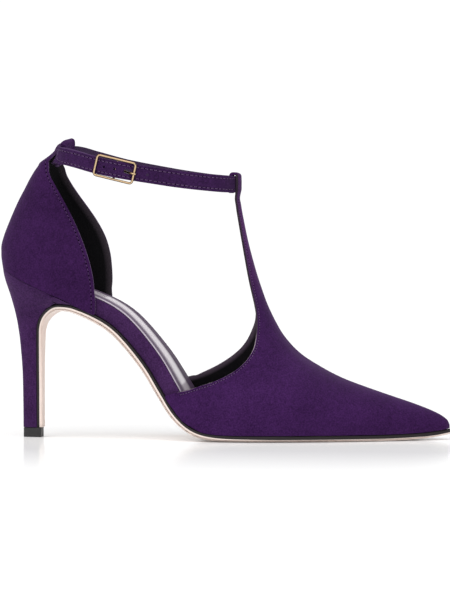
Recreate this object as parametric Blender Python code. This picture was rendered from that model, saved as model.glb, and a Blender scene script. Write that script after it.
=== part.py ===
"""Right-foot T-strap stiletto pump: sole, heel, insole, hollow two-piece upper, ankle strap and buckle.

+X points to the toe, +Y to the inner side of the foot, +Z up, and the floor is z = 0.
Sizes below are millimetres, and MM turns them into metres when a mesh is made.
"""

import bmesh
import bpy
import numpy as np

MM = 0.001
CENTRE_X = -0.156
CENTRE_Y = -0.6

# Driving sizes
GAP = 0.3
SOLE_EDGE = 2.2
UPPER_WALL = 1.5
UPPER_OVERHANG = 0.3
UPPER_SWELL = 0.045
INSOLE_INSET = 2.3
SOCK_INSET = 0.7
SOCK_EDGE = 0.6
SOCK_CROWN = 1.0
SEAT_FRONT_X = -79.0
SEAT_BACK_X = -125.0
SEAT_OUTER = 25.2
SEAT_INNER = 24.6
SEAT_ROUND = 2.4
HEEL_TIP_Z = 5.5
TIP_FRONT_X = -103.2
STRAP_WIDTH = 9.0
STRAP_THICK = 1.8
STRAP_LEAN = 30.0
STRAP_LEAN_X = -86.0
STRAP_LEAN_SPAN = 8.6
BUCKLE_LENGTH = 24.0
BUCKLE_HEIGHT = 12.8
BUCKLE_CORNER = 1.5
BUCKLE_WIRE = 1.5
PRONG_WIRE = 1.3
BUCKLE_STAND = 3.4
BUCKLE_TURN = 2.4
BAR_STAND = 1.6
HOLE_START = 5.2
HOLE_END = 9.4
HOLE_SHARE = 0.15

# Line on which insole and upper stand, from the toe to the front of the heel seat
BED_COLUMNS = ("x", "z", "outer", "inner")
BED = (
    (125.4, 6.1, 3.2, 4.8),
    (124.4, 5.9, 1.6, 6.3),
    (122.0, 5.5, -0.6, 8.2),
    (116.0, 4.6, -4.6, 11.6),
    (104.0, 3.8, -10.4, 16.6),
    (88.0, 3.4, -17.8, 22.2),
    (70.0, 3.4, -25.2, 27.8),
    (50.0, 3.4, -31.8, 32.8),
    (30.0, 3.4, -36.4, 36.0),
    (12.0, 3.4, -38.0, 36.8),
    (0.0, 3.8, -37.6, 35.6),
    (-7.0, 4.8, -36.8, 34.0),
    (-12.0, 6.4, -35.8, 32.6),
    (-17.0, 9.4, -34.6, 31.0),
    (-23.5, 15.8, -32.8, 28.6),
    (-29.0, 24.0, -31.2, 26.6),
    (-32.0, 28.8, -30.4, 25.6),
    (-38.9, 39.8, -28.6, 23.8),
    (-45.3, 48.1, -27.2, 22.8),
    (-53.0, 56.9, -26.0, 22.6),
    (-58.0, 61.7, -25.5, 22.9),
    (-64.0, 66.0, -25.2, 23.4),
    (-70.0, 69.2, -25.2, 24.0),
    (SEAT_FRONT_X, 73.2, -SEAT_OUTER, SEAT_INNER),
)

# Sloping heel seat behind that line
SEAT_COLUMNS = ("x", "z")
SEAT = (
    (-83.2, 75.2),
    (-92.3, 79.3),
    (-104.0, 84.3),
    (-113.3, 88.6),
    (-121.0, 92.8),
    (SEAT_BACK_X, 95.4),
)

# Upper face of the sole from the seat round the breast and down the front of the heel
BREAST_COLUMNS = ("x", "z")
BREAST = (
    (SEAT_FRONT_X, 72.9),
    (-84.0, 74.3),
    (-90.0, 74.7),
    (-95.4, 73.4),
    (-100.2, 70.2),
    (-103.6, 65.6),
    (-105.0, 60.0),
    (-105.3, 50.0),
    (-105.4, 34.0),
    (-105.4, 18.0),
    (-105.3, HEEL_TIP_Z),
)

# How far the sole's underside bulges below its edge, by position along the sole
CROWN_COLUMNS = ("x", "crown")
CROWN = (
    (-105.0, 0.8),
    (-84.0, 1.6),
    (-60.0, 2.2),
    (-30.0, 2.2),
    (0.0, 1.4),
    (12.0, 1.2),
    (88.0, 1.2),
    (125.4, 0.6),
)

# Heel sections from tip to seat, front is the distance down the breast from the seat
HEEL_COLUMNS = ("front", "back_x", "back_z", "half")
HEEL = (
    (0.0, SEAT_BACK_X, 95.1, SEAT_OUTER),
    (5.5, -124.3, 91.0, 24.0),
    (10.5, -123.0, 86.4, 21.6),
    (16.0, -121.2, 81.0, 18.0),
    (21.5, -119.4, 74.6, 13.6),
    (27.0, -117.8, 68.0, 9.9),
    (33.0, -116.5, 60.8, 7.5),
    (43.0, -115.3, 50.5, 6.0),
    (59.0, -114.2, 34.4, 5.0),
    (75.0, -113.9, 18.2, 4.6),
    (88.0, -113.8, HEEL_TIP_Z, 4.6),
)

INSOLE_COLUMNS = ("x", "thick")
INSOLE = (
    (113.0, 2.2),
    (60.0, 2.6),
    (20.0, 3.2),
    (0.0, 4.6),
    (-18.0, 6.8),
    (-32.0, 8.3),
    (-62.0, 8.7),
    (-84.0, 8.0),
    (-121.6, 6.4),
)

# Middle line of the front upper, with the place on the sole that its cross-section starts from
RIB_COLUMNS = ("x", "y", "z", "foot", "full", "lean", "rise")
RIBS = (
    (125.3, 4.0, 8.4, 125.4, 2.0, 0.00, 0.50),
    (124.2, 4.0, 10.8, 123.6, 2.0, 0.30, 0.60),
    (121.0, 3.9, 13.4, 119.6, 2.05, 0.35, 0.60),
    (114.8, 3.7, 16.5, 112.0, 2.1, 0.40, 0.60),
    (104.0, 3.2, 20.6, 99.5, 2.15, 0.40, 0.60),
    (92.0, 2.7, 24.6, 85.0, 2.2, 0.40, 0.60),
    (79.5, 2.1, 28.9, 69.5, 2.25, 0.42, 0.58),
    (68.5, 1.6, 32.9, 54.0, 2.3, 0.44, 0.56),
    (60.0, 1.2, 36.8, 39.0, 2.3, 0.45, 0.54),
    (52.5, 0.9, 41.0, 24.0, 2.3, 0.46, 0.48),
    (46.5, 0.7, 44.8, 10.0, 2.3, 0.50, 0.33),
    (42.5, 0.6, 47.7, 0.0, 2.3, 0.52, 0.10),
    (39.0, 0.5, 50.8, -9.0, 2.3, 0.52, 0.10),
    (35.8, 0.4, 54.3, -16.5, 2.3, 0.50, 0.15),
    (33.0, 0.3, 57.9, -22.5, 2.3, 0.50, 0.25),
    (30.4, 0.2, 62.0, -28.0, 2.3, 0.50, 0.34),
    (28.1, 0.1, 66.3, -33.0, 2.3, 0.54, 0.40),
    (25.8, 0.0, 71.0, -38.0, 2.3, 0.55, 0.42),
    (23.4, 0.0, 76.5, -43.5, 2.3, 0.55, 0.44),
    (20.9, 0.0, 83.5, -49.0, 2.3, 0.55, 0.44),
    (18.4, 0.0, 91.0, -54.5, 2.3, 0.55, 0.44),
    (15.8, 0.0, 100.0, -60.0, 2.3, 0.55, 0.44),
    (13.2, 0.0, 110.0, -66.0, 2.3, 0.55, 0.44),
    (11.1, 0.0, 120.0, -71.0, 2.3, 0.55, 0.44),
    (9.4, 0.0, 129.0, -75.0, 2.3, 0.55, 0.44),
    (8.6, 0.0, 134.4, -77.5, 2.3, 0.55, 0.44),
)

# Ribs between which the toe's hollow is drawn back from the pointed nose
TOE_HOLLOW_RIB = 2.3
TOE_RIB = 5.0

# Where each rib of the front upper meets the sole, by its x, as far as the wing's corner
FOOT_COLUMNS = ("outer", "inner")
FOOT = (
    (125.4, 125.4),
    (124.2, 124.2),
    (119.8, 119.8),
    (112.0, 112.0),
    (99.0, 99.0),
    (84.0, 84.0),
    (68.0, 68.0),
    (50.0, 50.0),
    (30.0, 30.0),
    (10.0, 9.0),
    (-10.0, -12.0),
    (-29.2, -33.0),
)

# Free edge of the front upper in side view, from the wing's corner up to the strap loop
TOPLINE_COLUMNS = ("outer_x", "outer_z", "inner_x", "inner_z")
TOPLINE = (
    (-15.0, 28.8, -19.6, 34.2),
    (0.0, 33.7, -8.0, 39.4),
    (10.8, 39.8, 2.2, 46.0),
    (17.2, 46.6, 9.2, 52.8),
    (20.2, 54.2, 13.6, 60.0),
    (20.7, 62.6, 16.2, 66.6),
    (19.7, 72.0, 17.1, 74.2),
    (17.6, 80.8, 16.3, 82.0),
    (15.5, 89.6, 14.8, 90.2),
    (13.6, 99.2, 13.3, 99.5),
    (11.7, 109.4, 11.6, 109.5),
    (9.9, 119.5, 9.9, 119.5),
    (8.4, 128.4, 8.4, 128.4),
    (7.7, 133.8, 7.7, 133.8),
)

# Heel counter, one row for each level from above the seat to the neck below the tab
LEVEL_COLUMNS = (
    "back_x", "back_z", "outer_x", "outer_z", "outer_y", "inner_x", "inner_z", "inner_y", "round",
)
LEVELS = (
    (-125.9, 101.0, -69.0, 79.0, 25.9, -67.5, 79.5, 25.4, 2.4),
    (-126.0, 106.5, -69.8, 88.3, 26.2, -67.4, 90.0, 26.0, 2.35),
    (-124.5, 112.8, -72.0, 98.3, 25.8, -68.2, 100.5, 26.0, 2.3),
    (-122.0, 119.4, -75.2, 107.8, 24.8, -70.6, 110.5, 25.6, 2.25),
    (-119.2, 126.0, -79.2, 117.2, 23.2, -74.7, 119.2, 24.7, 2.2),
    (-116.2, 132.6, -83.6, 125.8, 21.2, -80.0, 127.6, 23.2, 2.15),
    (-112.8, 139.0, -88.3, 133.8, 18.6, -85.0, 134.8, 21.4, 2.1),
    (-109.7, 145.0, -93.0, 141.2, 15.4, -89.4, 141.8, 19.0, 2.05),
    (-106.5, 150.2, -97.0, 148.4, 12.4, -92.4, 148.2, 16.8, 2.0),
    (-103.1, 154.6, -97.7, 154.2, 10.4, -93.6, 154.4, 15.2, 2.0),
)

# Route of the ankle strap's middle, lift is how far it stands off the inner turn
STRAP_COLUMNS = ("x", "y", "z", "lift")
STRAP = (
    (-58.1, -28.6, 150.0, 1.2),
    (-63.0, -27.8, 151.0, 0.5),
    (-70.0, -26.2, 152.7, 0.0),
    (-79.0, -22.9, 155.3, 0.0),
    (-87.0, -17.3, 157.2, 0.0),
    (-92.2, -9.6, 157.7, 0.0),
    (-94.6, 0.5, 156.6, 0.0),
    (-92.0, 10.2, 158.9, 0.0),
    (-86.2, 17.2, 158.6, 0.0),
    (-76.0, 22.8, 155.8, 0.0),
    (-60.0, 27.0, 151.4, 0.0),
    (-42.0, 28.8, 147.8, 0.0),
    (-24.0, 27.2, 144.7, 0.0),
    (-9.0, 21.6, 142.7, 0.0),
    (2.2, 12.0, 141.8, 0.0),
    (6.6, 0.0, 141.5, 0.0),
    (2.2, -12.0, 141.6, 0.0),
    (-9.0, -21.6, 142.6, 0.0),
    (-24.0, -27.4, 144.4, 0.0),
    (-35.0, -29.1, 146.1, 0.8),
    (-45.0, -29.5, 147.7, 2.0),
    (-56.3, -28.8, 149.7, 3.6),
    (-67.6, -26.8, 152.1, 2.1),
    (-79.0, -22.9, 155.3, 2.1),
    (-86.0, -18.2, 157.0, 2.1),
    (-90.0, -13.2, 157.6, 2.2),
)
STRAP_BACK_ROW = 6
STRAP_FRONT_ROW = 15
BUCKLE_ROW = 21

# Fold of the upper round the strap, as offsets from the strap's middle
FOLD_COLUMNS = ("out", "up")
TAB_FOLD = (
    (3.05, 0.7),
    (2.85, 3.0),
    (2.7, 5.2),
    (1.8, 6.25),
    (0.0, 6.6),
    (-1.8, 6.25),
    (-2.7, 5.2),
    (-2.85, 2.5),
    (-2.85, -2.0),
    (-2.85, -4.6),
)
LOOP_FOLD = (
    (2.85, -3.4),
    (3.0, 0.8),
    (2.75, 5.1),
    (1.8, 6.25),
    (0.0, 6.6),
    (-1.8, 6.25),
    (-2.75, 5.1),
    (-2.85, 2.0),
    (-2.85, -2.0),
    (-2.85, -4.6),
)
TAB_REACH_OUTER = 12.0
TAB_REACH_INNER = 15.5
LOOP_REACH = 5.0
TAB_TILT = 0.14

# Prong in side view, forward of the middle bar and outwards from the frame's middle plane
PRONG_COLUMNS = ("along", "out")
PRONG = (
    (1.75, -1.9),
    (3.2, -2.35),
    (5.1, -2.5),
    (7.1, -1.2),
    (8.9, 0.65),
    (10.1, 1.55),
    (11.25, 1.78),
    (12.8, 1.6),
)

# Mesh counts
SOLE_ROWS = 46
BREAST_ROWS = 22
INSOLE_ROWS = 46
VAMP_ROWS = 44
VAMP_HALF = 7
QUARTER_ROWS = 18
QUARTER_HALF = 9
FOLD_ROWS = 12
STRAP_ROWS = 84
LAST_SAMPLES = 1500
WIRE_SIDES = 8
CORNER_STEPS = 4
PRONG_ROWS = 12


def smooth(knots, values, where):
    """Monotone cubic through the values at rising knots, so that no curve overshoots its table."""
    knots = np.asarray(knots, float)
    values = np.asarray(values, float)
    where = np.clip(np.asarray(where, float), knots[0], knots[-1])
    steps = np.diff(knots)
    shape = (-1,) + (1,) * (values.ndim - 1)
    steps_column = steps.reshape(shape)
    slopes = np.diff(values, axis=0) / steps_column
    tangents = np.empty_like(values)
    tangents[0] = slopes[0]
    tangents[-1] = slopes[-1]
    before = slopes[:-1]
    after = slopes[1:]
    share = (steps_column[:-1] + 2 * steps_column[1:]) / (3 * (steps_column[:-1] + steps_column[1:]))
    with np.errstate(divide="ignore", invalid="ignore"):
        mean = before * after / (share * after + (1 - share) * before)
    tangents[1:-1] = np.where(before * after > 0, mean, 0.0)
    span = np.clip(np.searchsorted(knots, where, side="right") - 1, 0, len(steps) - 1)
    t = ((where - knots[span]) / steps[span]).reshape((-1,) + (1,) * (values.ndim - 1))
    h = steps[span].reshape(t.shape)
    return (
        (2 * t**3 - 3 * t**2 + 1) * values[span]
        + (t**3 - 2 * t**2 + t) * h * tangents[span]
        + (3 * t**2 - 2 * t**3) * values[span + 1]
        + (t**3 - t**2) * h * tangents[span + 1]
    )


def chord(points):
    """Running length along a row of points, starting at 0."""
    steps = np.linalg.norm(np.diff(np.asarray(points, float), axis=0), axis=1)
    return np.concatenate([[0.0], np.cumsum(steps)])


def unit(vectors):
    """Vectors at length 1, or 0 where there is no direction."""
    length = np.linalg.norm(vectors, axis=-1, keepdims=True)
    return vectors / np.where(length > 0, length, 1)


def column(table, columns, *names):
    """The named columns of a table, as an array with one row for each row of the table."""
    rows = np.asarray(table, float)
    return rows[:, [columns.index(name) for name in names]]


def bed_height(x):
    """Height of the line that carries insole and upper, at each x."""
    line = np.vstack([column(BED, BED_COLUMNS, "x", "z"), column(SEAT, SEAT_COLUMNS, "x", "z")])[::-1]
    return smooth(line[:, 0], line[:, 1], np.atleast_1d(x))


def bed_outline(x):
    """The y of the outer and inner edge of the sole and heel seat, at each x."""
    x = np.atleast_1d(np.asarray(x, float))
    rows = column(BED, BED_COLUMNS, "x", "outer", "inner")[::-1]
    edges = smooth(rows[:, 0], rows[:, 1:], x)
    back = np.clip((SEAT_FRONT_X - x) / (SEAT_FRONT_X - SEAT_BACK_X), 0, 1)
    narrowing = (1 - back**SEAT_ROUND) ** (1 / SEAT_ROUND)
    return edges * narrowing[:, None]


def bed_frame(x):
    """Points of the bed line at each x in the x-z plane, with the direction that points up from it."""
    x = np.asarray(x, float)
    step = 0.05
    rise = (bed_height(x + step) - bed_height(x - step)) / (2 * step)
    normals = unit(np.column_stack([-rise, np.ones_like(x)]))
    return np.column_stack([x, bed_height(x)]), normals


def bed_stations(first, last, count):
    """The x of even steps along the bed line from one x to another."""
    x = np.linspace(first, last, 20 * count)
    run = chord(np.column_stack([x, bed_height(x)]))
    return np.interp(np.linspace(0, run[-1], count), run, x)


def breast_track(count):
    """Points down the breast at even steps, with the direction that points to the heel."""
    rows = column(BREAST, BREAST_COLUMNS, "x", "z")
    run = chord(rows)
    places = np.linspace(0, run[-1], count)
    points = smooth(run, rows, places)
    tangents = unit(np.gradient(points, axis=0))
    return places, points, np.column_stack([tangents[:, 1], -tangents[:, 0]])


def heel_half(front):
    """Half the heel's width at distances down the breast."""
    rows = column(HEEL, HEEL_COLUMNS, "front", "half")
    return smooth(rows[:, 0], rows[:, 1], front)


def make_object(name, vertices, faces, finish, weld=False):
    """A closed mesh object from millimetre points, its faces turned outwards."""
    mesh = bpy.data.meshes.new(name)
    centred = np.asarray(vertices) - np.array([CENTRE_X, CENTRE_Y, 0.0])
    mesh.from_pydata([tuple(point) for point in centred * MM], [], faces)
    shape = bmesh.new()
    shape.from_mesh(mesh)
    if weld:
        bmesh.ops.remove_doubles(shape, verts=shape.verts, dist=0.005 * MM)
    bmesh.ops.recalc_face_normals(shape, faces=shape.faces)
    shape.to_mesh(mesh)
    shape.free()
    mesh.shade_smooth()
    mesh.set_sharp_from_angle(angle=np.radians(40))
    mesh.materials.append(finish)
    piece = bpy.data.objects.new(name, mesh)
    bpy.context.scene.collection.objects.link(piece)
    return piece


def make_finish(name, colour, roughness, metallic=0.0):
    """A Principled material."""
    finish = bpy.data.materials.new(name)
    finish.use_nodes = True
    shader = finish.node_tree.nodes["Principled BSDF"]
    shader.inputs["Base Color"].default_value = (*colour, 1.0)
    shader.inputs["Roughness"].default_value = roughness
    shader.inputs["Metallic"].default_value = metallic
    return finish


def ring_quad(around, *corners):
    """Vertex numbers of a face from (ring, place) pairs."""
    return tuple(row * around + place for row, place in corners)


def loft(name, rings, finish, strips=False):
    """A solid through closed rings of equal count, capped at both ends.

    With strips set, the first cap is made of strips from side to side, so that it can sag.
    """
    count, around = rings.shape[:2]
    faces = []
    for row in range(count - 1):
        for place in range(around):
            after = (place + 1) % around
            faces.append(ring_quad(around, (row, place), (row, after), (row + 1, after), (row + 1, place)))
    if strips:
        for place in range(around // 2):
            strip = (place, place + 1, around - 2 - place, around - 1 - place)
            faces.append(tuple(dict.fromkeys(strip)))
    else:
        faces.append(tuple(range(around)))
    faces.append(tuple((count - 1) * around + place for place in range(around)))
    return make_object(name, rings.reshape(-1, 3), faces, finish)


def wall(name, outer, inner, finish, nose=False):
    """A hollow wall between an outer and an inner grid, closed along its free edges.

    With nose set, the two halves of the first row lie on each other and are welded into a seam.
    """
    rows, columns = outer.shape[:2]
    offset = rows * columns
    faces = []

    def place(row, col, inside):
        return row * columns + col + (offset if inside else 0)

    for row in range(rows - 1):
        for col in range(columns - 1):
            corners = ((row, col), (row, col + 1), (row + 1, col + 1), (row + 1, col))
            faces.append(tuple(place(r, c, False) for r, c in corners))
            faces.append(tuple(place(r, c, True) for r, c in reversed(corners)))
        for col in (0, columns - 1):
            rim = ((row, col, False), (row + 1, col, False), (row + 1, col, True), (row, col, True))
            faces.append(tuple(place(*corner) for corner in rim))
    for row in (rows - 1,) if nose else (0, rows - 1):
        for col in range(columns - 1):
            rim = ((row, col, False), (row, col + 1, False), (row, col + 1, True), (row, col, True))
            faces.append(tuple(place(*corner) for corner in rim))
    points = np.concatenate([outer.reshape(-1, 3), inner.reshape(-1, 3)])
    return make_object(name, points, faces, finish, weld=nose)


def grid_normals(grid):
    """Outward directions of a grid whose rows run back from the toe and columns run to the inner side."""
    along = np.gradient(grid, axis=0)
    across = np.gradient(grid, axis=1)
    return unit(np.cross(across, along))


def make_outsole(finish):
    """Sole from toe to waist, then round the breast and down the front of the heel."""
    x = bed_stations(BED[0][0], SEAT_FRONT_X, SOLE_ROWS)[:-1]
    bed_points, bed_normals = bed_frame(x)
    bed_edges = bed_outline(x)
    places, breast_points, breast_normals = breast_track(BREAST_ROWS)
    half = heel_half(places)
    points = np.vstack([bed_points, breast_points])
    normals = np.vstack([bed_normals, breast_normals])
    edges = np.vstack([bed_edges, np.column_stack([-half, half])])
    crown_rows = column(CROWN, CROWN_COLUMNS, "x", "crown")
    crown = smooth(crown_rows[:, 0], crown_rows[:, 1], points[:, 0])
    top = ((-1.0, 0.0), (0.0, 0.0), (1.0, 0.0))
    under = ((1.0, 0.0), (0.94, 0.5), (0.8, 1.0), (0.0, 1.0), (-0.8, 1.0), (-0.94, 0.5), (-1.0, 0.0))
    middle = edges.mean(axis=1)
    reach = (edges[:, 1] - edges[:, 0]) / 2
    rings = np.empty((len(points), len(top) + len(under), 3))
    for place, (across, depth) in enumerate(top + under):
        drop = np.zeros(len(points)) if place < len(top) else SOLE_EDGE + depth * crown
        rings[:, place, 0] = points[:, 0] - normals[:, 0] * drop
        rings[:, place, 1] = middle + reach * across
        rings[:, place, 2] = points[:, 1] - normals[:, 1] * drop
    return loft("outsole", rings, finish)


def make_heel(finish):
    """Slim heel lofted from its tip to the sloping seat."""
    places, fronts, normals = breast_track(BREAST_ROWS)
    fronts = fronts + GAP * normals
    rows = column(HEEL, HEEL_COLUMNS, "front", "back_x", "back_z", "half")
    table = smooth(rows[:, 0], rows[:, 1:], places)
    angles = np.radians(np.linspace(-90, 90, 17))
    wide = np.sign(np.sin(angles)) * np.abs(np.sin(angles)) ** (2 / SEAT_ROUND)
    deep = np.abs(np.cos(angles)) ** (2 / SEAT_ROUND)
    rings = np.empty((BREAST_ROWS, len(angles), 3))
    rings[:, :, 0] = fronts[:, :1] + (table[:, :1] - fronts[:, :1]) * deep
    rings[:, :, 1] = table[:, 2:] * wide
    rings[:, :, 2] = fronts[:, 1:] + (table[:, 1:2] - fronts[:, 1:]) * deep
    seat_x = rings[0, :, 0]
    rings[0, :, 2] = bed_height(seat_x)
    return loft("heel", rings, finish, strips=True)


def make_top_piece(finish):
    """Hard-wearing tip under the heel and the sole's flap."""
    back = HEEL[-1][1]
    half = HEEL[-1][3]
    angles = np.radians(np.linspace(-90, 90, 13))
    wide = np.sign(np.sin(angles)) * np.abs(np.sin(angles)) ** (2 / SEAT_ROUND)
    deep = np.abs(np.cos(angles)) ** (2 / SEAT_ROUND)
    ring = np.column_stack([TIP_FRONT_X + (back - TIP_FRONT_X) * deep, half * wide])
    rings = np.empty((2, len(ring), 3))
    rings[:, :, :2] = ring
    rings[0, :, 2] = 0.0
    rings[1, :, 2] = HEEL_TIP_Z - GAP
    return loft("top_piece", rings, finish)


def insole_frame():
    """Places along the insole: points, upward directions, edges and thickness."""
    rows = column(INSOLE, INSOLE_COLUMNS, "x", "thick")
    x = bed_stations(rows[0, 0], rows[-1, 0], INSOLE_ROWS)
    points, normals = bed_frame(x)
    edges = bed_outline(x) + np.array([INSOLE_INSET, -INSOLE_INSET])
    thick = smooth(rows[::-1, 0], rows[::-1, 1], x)
    return points, normals, edges, thick


def make_insole(finish):
    """Board with a wrapped edge, which shows between the counter and the front upper."""
    points, normals, edges, thick = insole_frame()
    profile = ((0.0, 0), (0.0, 1), (0.5, 1), (1.0, 1), (1.0, 0), (0.5, 0))
    rings = np.empty((len(points), len(profile), 3))
    for place, (across, level) in enumerate(profile):
        height = GAP + thick * level
        rings[:, place, 0] = points[:, 0] + normals[:, 0] * height
        rings[:, place, 1] = edges[:, 0] + (edges[:, 1] - edges[:, 0]) * across
        rings[:, place, 2] = points[:, 1] + normals[:, 1] * height
    return loft("insole", rings, finish)


def make_sock(finish):
    """Crowned lining sheet that lies on the insole."""
    points, normals, edges, thick = insole_frame()
    edges = edges + np.array([SOCK_INSET, -SOCK_INSET])
    across = np.linspace(0, 1, 9)
    crown = SOCK_EDGE + SOCK_CROWN * np.sin(np.pi * across) ** 0.8
    profile = [(place, 0.0) for place in (1.0, 0.5, 0.0)] + list(zip(across, crown))
    rings = np.empty((len(points), len(profile), 3))
    for place, (share, lift) in enumerate(profile):
        height = thick + 2 * GAP + lift
        rings[:, place, 0] = points[:, 0] + normals[:, 0] * height
        rings[:, place, 1] = edges[:, 0] + (edges[:, 1] - edges[:, 0]) * share
        rings[:, place, 2] = points[:, 1] + normals[:, 1] * height
    return loft("sock", rings, finish)


def strap_route():
    """Lengths along the strap's route, its points and its lift."""
    rows = column(STRAP, STRAP_COLUMNS, "x", "y", "z")
    return chord(rows), rows, column(STRAP, STRAP_COLUMNS, "lift")


def strap_at(run, rows, lift, places):
    """Strap points at given lengths along its route, with the outward and upward directions there.

    Behind the ankle the strap leans in at its upper edge.
    """
    points = smooth(run, rows, places)
    step = 0.4
    ahead = smooth(run, rows, places + step) - smooth(run, rows, places - step)
    tangents = unit(ahead)
    upright = np.array([0.0, 0.0, 1.0])
    up = unit(upright - tangents * tangents[:, 2:])
    out = np.cross(up, tangents)
    share = np.clip((STRAP_LEAN_X - points[:, :1]) / STRAP_LEAN_SPAN, 0, 1)
    lean = np.radians(STRAP_LEAN) * share**2 * (3 - 2 * share)
    up, out = np.cos(lean) * up - np.sin(lean) * out, np.cos(lean) * out + np.sin(lean) * up
    return points + out * smooth(run, lift, places), out, up


def fold_rows(fold, row, reach_outer, reach_inner, columns, tilt):
    """Grid of an upper's fold round the strap at one row of its route, outer side first."""
    run, rows, lift = strap_route()
    heading = 1.0 if rows[row + 1, 1] > rows[row, 1] else -1.0
    places = run[row] + heading * np.linspace(-reach_outer, reach_inner, columns)
    points, out, up = strap_at(run, rows, 0 * lift, places)
    offsets = column(fold, FOLD_COLUMNS, "out", "up")
    path = chord(offsets)
    offsets = smooth(path, offsets, np.linspace(0, path[-1], FOLD_ROWS))
    sides = np.linspace(-reach_outer, reach_inner, columns)
    grid = points[None] + out[None] * offsets[:, :1, None] + up[None] * offsets[:, 1:, None]
    height = np.clip(offsets[:, 1:], 0, None) / offsets[:, 1].max()
    grid[:, :, 2] += tilt * np.maximum(sides, 0)[None] * height
    return grid


def rib_rows(where):
    """Rows of the rib table at fractional row numbers."""
    return smooth(np.arange(len(RIBS)), column(RIBS, RIB_COLUMNS, *RIB_COLUMNS), where)


def foot_edge(x, side, where):
    """The y at which a side of the upper leaves the sole, drawn together at the nose."""
    outline = bed_outline(x)
    edge = outline[:, 0] - UPPER_OVERHANG if side == "outer" else outline[:, 1] + UPPER_OVERHANG
    nose = RIBS[0][1]
    return nose + (edge - nose) * np.sqrt(np.clip(where, 0, 1))


def last_side(points, side):
    """The y of the last's surface at points of the side view, between the sole and the middle line.

    Each cross-section is a rounded quarter: upright at the sole and level at the middle line.
    """
    numbers = np.linspace(0, len(RIBS) - 1, LAST_SAMPLES)
    rows = rib_rows(numbers)
    middle_x, middle_y, middle_z, foot_x, full = rows[:, :5].T
    foot = np.column_stack([foot_x, bed_height(foot_x) + GAP])
    reach = np.column_stack([middle_x, middle_z]) - foot
    edge = foot_edge(foot_x, side, numbers)
    table = np.column_stack([foot, reach, edge, middle_y, full])
    off = points[:, None] - foot[None]
    above = reach[:, 0] * off[:, :, 1] - reach[:, 1] * off[:, :, 0]
    before = np.clip((above > 0).sum(axis=1) - 1, 0, LAST_SAMPLES - 2)
    each = np.arange(len(points))
    drop = above[each, before] - above[each, before + 1]
    part = np.clip(above[each, before] / np.where(drop == 0, 1, drop), 0, 1)[:, None]
    found = table[before] * (1 - part) + table[before + 1] * part
    foot, reach, edge, middle, full = found[:, 0:2], found[:, 2:4], found[:, 4], found[:, 5], found[:, 6]
    share = np.clip(((points - foot) * reach).sum(axis=1) / (reach**2).sum(axis=1), 0, 1)
    swell = 1 + UPPER_SWELL * np.sin(np.pi * share)
    return middle + (edge - middle) * (1 - share**full) ** (1 / full) * swell


def rib_ends(side, where):
    """Ends of the ribs in side view: on the sole as far as the wing's corner, then along the free edge."""
    corner = len(FOOT) - 1
    foot_x = column(FOOT, FOOT_COLUMNS, side)[:, 0]
    x = smooth(np.arange(len(FOOT)), foot_x, np.clip(where, 0, corner))
    on_foot = np.column_stack([x, bed_height(x) + GAP])
    corner_point = np.array([[foot_x[-1], bed_height(foot_x[-1])[0] + GAP]])
    free = np.vstack([corner_point, column(TOPLINE, TOPLINE_COLUMNS, side + "_x", side + "_z")])
    on_free = smooth(np.arange(len(free)) + corner, free, np.clip(where, corner, len(RIBS) - 1))
    return np.where((where <= corner)[:, None], on_foot, on_free)


def vamp_grid(where):
    """Outer surface of the front upper at fractional row numbers, as ribs from outer to inner edge."""
    rows = rib_rows(where)
    middle = rows[:, [0, 2]]
    handle = rows[:, 5:7]
    t = np.linspace(0, 1, VAMP_HALF + 1)[None, :, None]
    halves = []
    for side in ("outer", "inner"):
        end = rib_ends(side, where)
        low = end + handle * (middle - end)
        view = (
            (1 - t) ** 3 * end[:, None]
            + 3 * (1 - t) ** 2 * t * low[:, None]
            + (3 * (1 - t) * t**2 + t**3) * middle[:, None]
        )
        y = last_side(view.reshape(-1, 2), side).reshape(view.shape[:2])
        foot_rows = where <= len(FOOT) - 1
        y[foot_rows, 0] = foot_edge(end[foot_rows, 0], side, where[foot_rows])
        y[:, -1] = rows[:, 1]
        halves.append(np.dstack([view[:, :, 0], y, view[:, :, 1]]))
    return np.concatenate([halves[0], halves[1][:, -2::-1]], axis=1)


def make_vamp(finish):
    """Pointed front upper with the T-bar, which folds over the ankle strap as a loop."""
    last = len(RIBS) - 1
    where = np.linspace(0, last, VAMP_ROWS)
    corner = len(FOOT) - 1
    where[np.argmin(np.abs(where - corner))] = corner
    loop = fold_rows(LOOP_FOLD, STRAP_FRONT_ROW, LOOP_REACH, LOOP_REACH, 2 * VAMP_HALF + 1, 0.0)
    outer = np.vstack([vamp_grid(where), loop])
    inner = outer - UPPER_WALL * grid_normals(outer)
    toe = int((where < TOE_RIB).sum())
    inside = TOE_HOLLOW_RIB + (TOE_RIB - TOE_HOLLOW_RIB) / TOE_RIB * where[:toe]
    hollow = vamp_grid(np.concatenate([inside, where[toe : toe + 2]]))
    inner[:toe] = (hollow - UPPER_WALL * grid_normals(hollow))[:toe]
    inner[:toe, [0, -1], 2] = outer[:toe, [0, -1], 2]
    inner[0] = (inner[0] + inner[0, ::-1]) / 2
    inner[0, :, 1] = RIBS[0][1]
    return wall("vamp", outer, inner, finish, nose=True)


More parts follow.
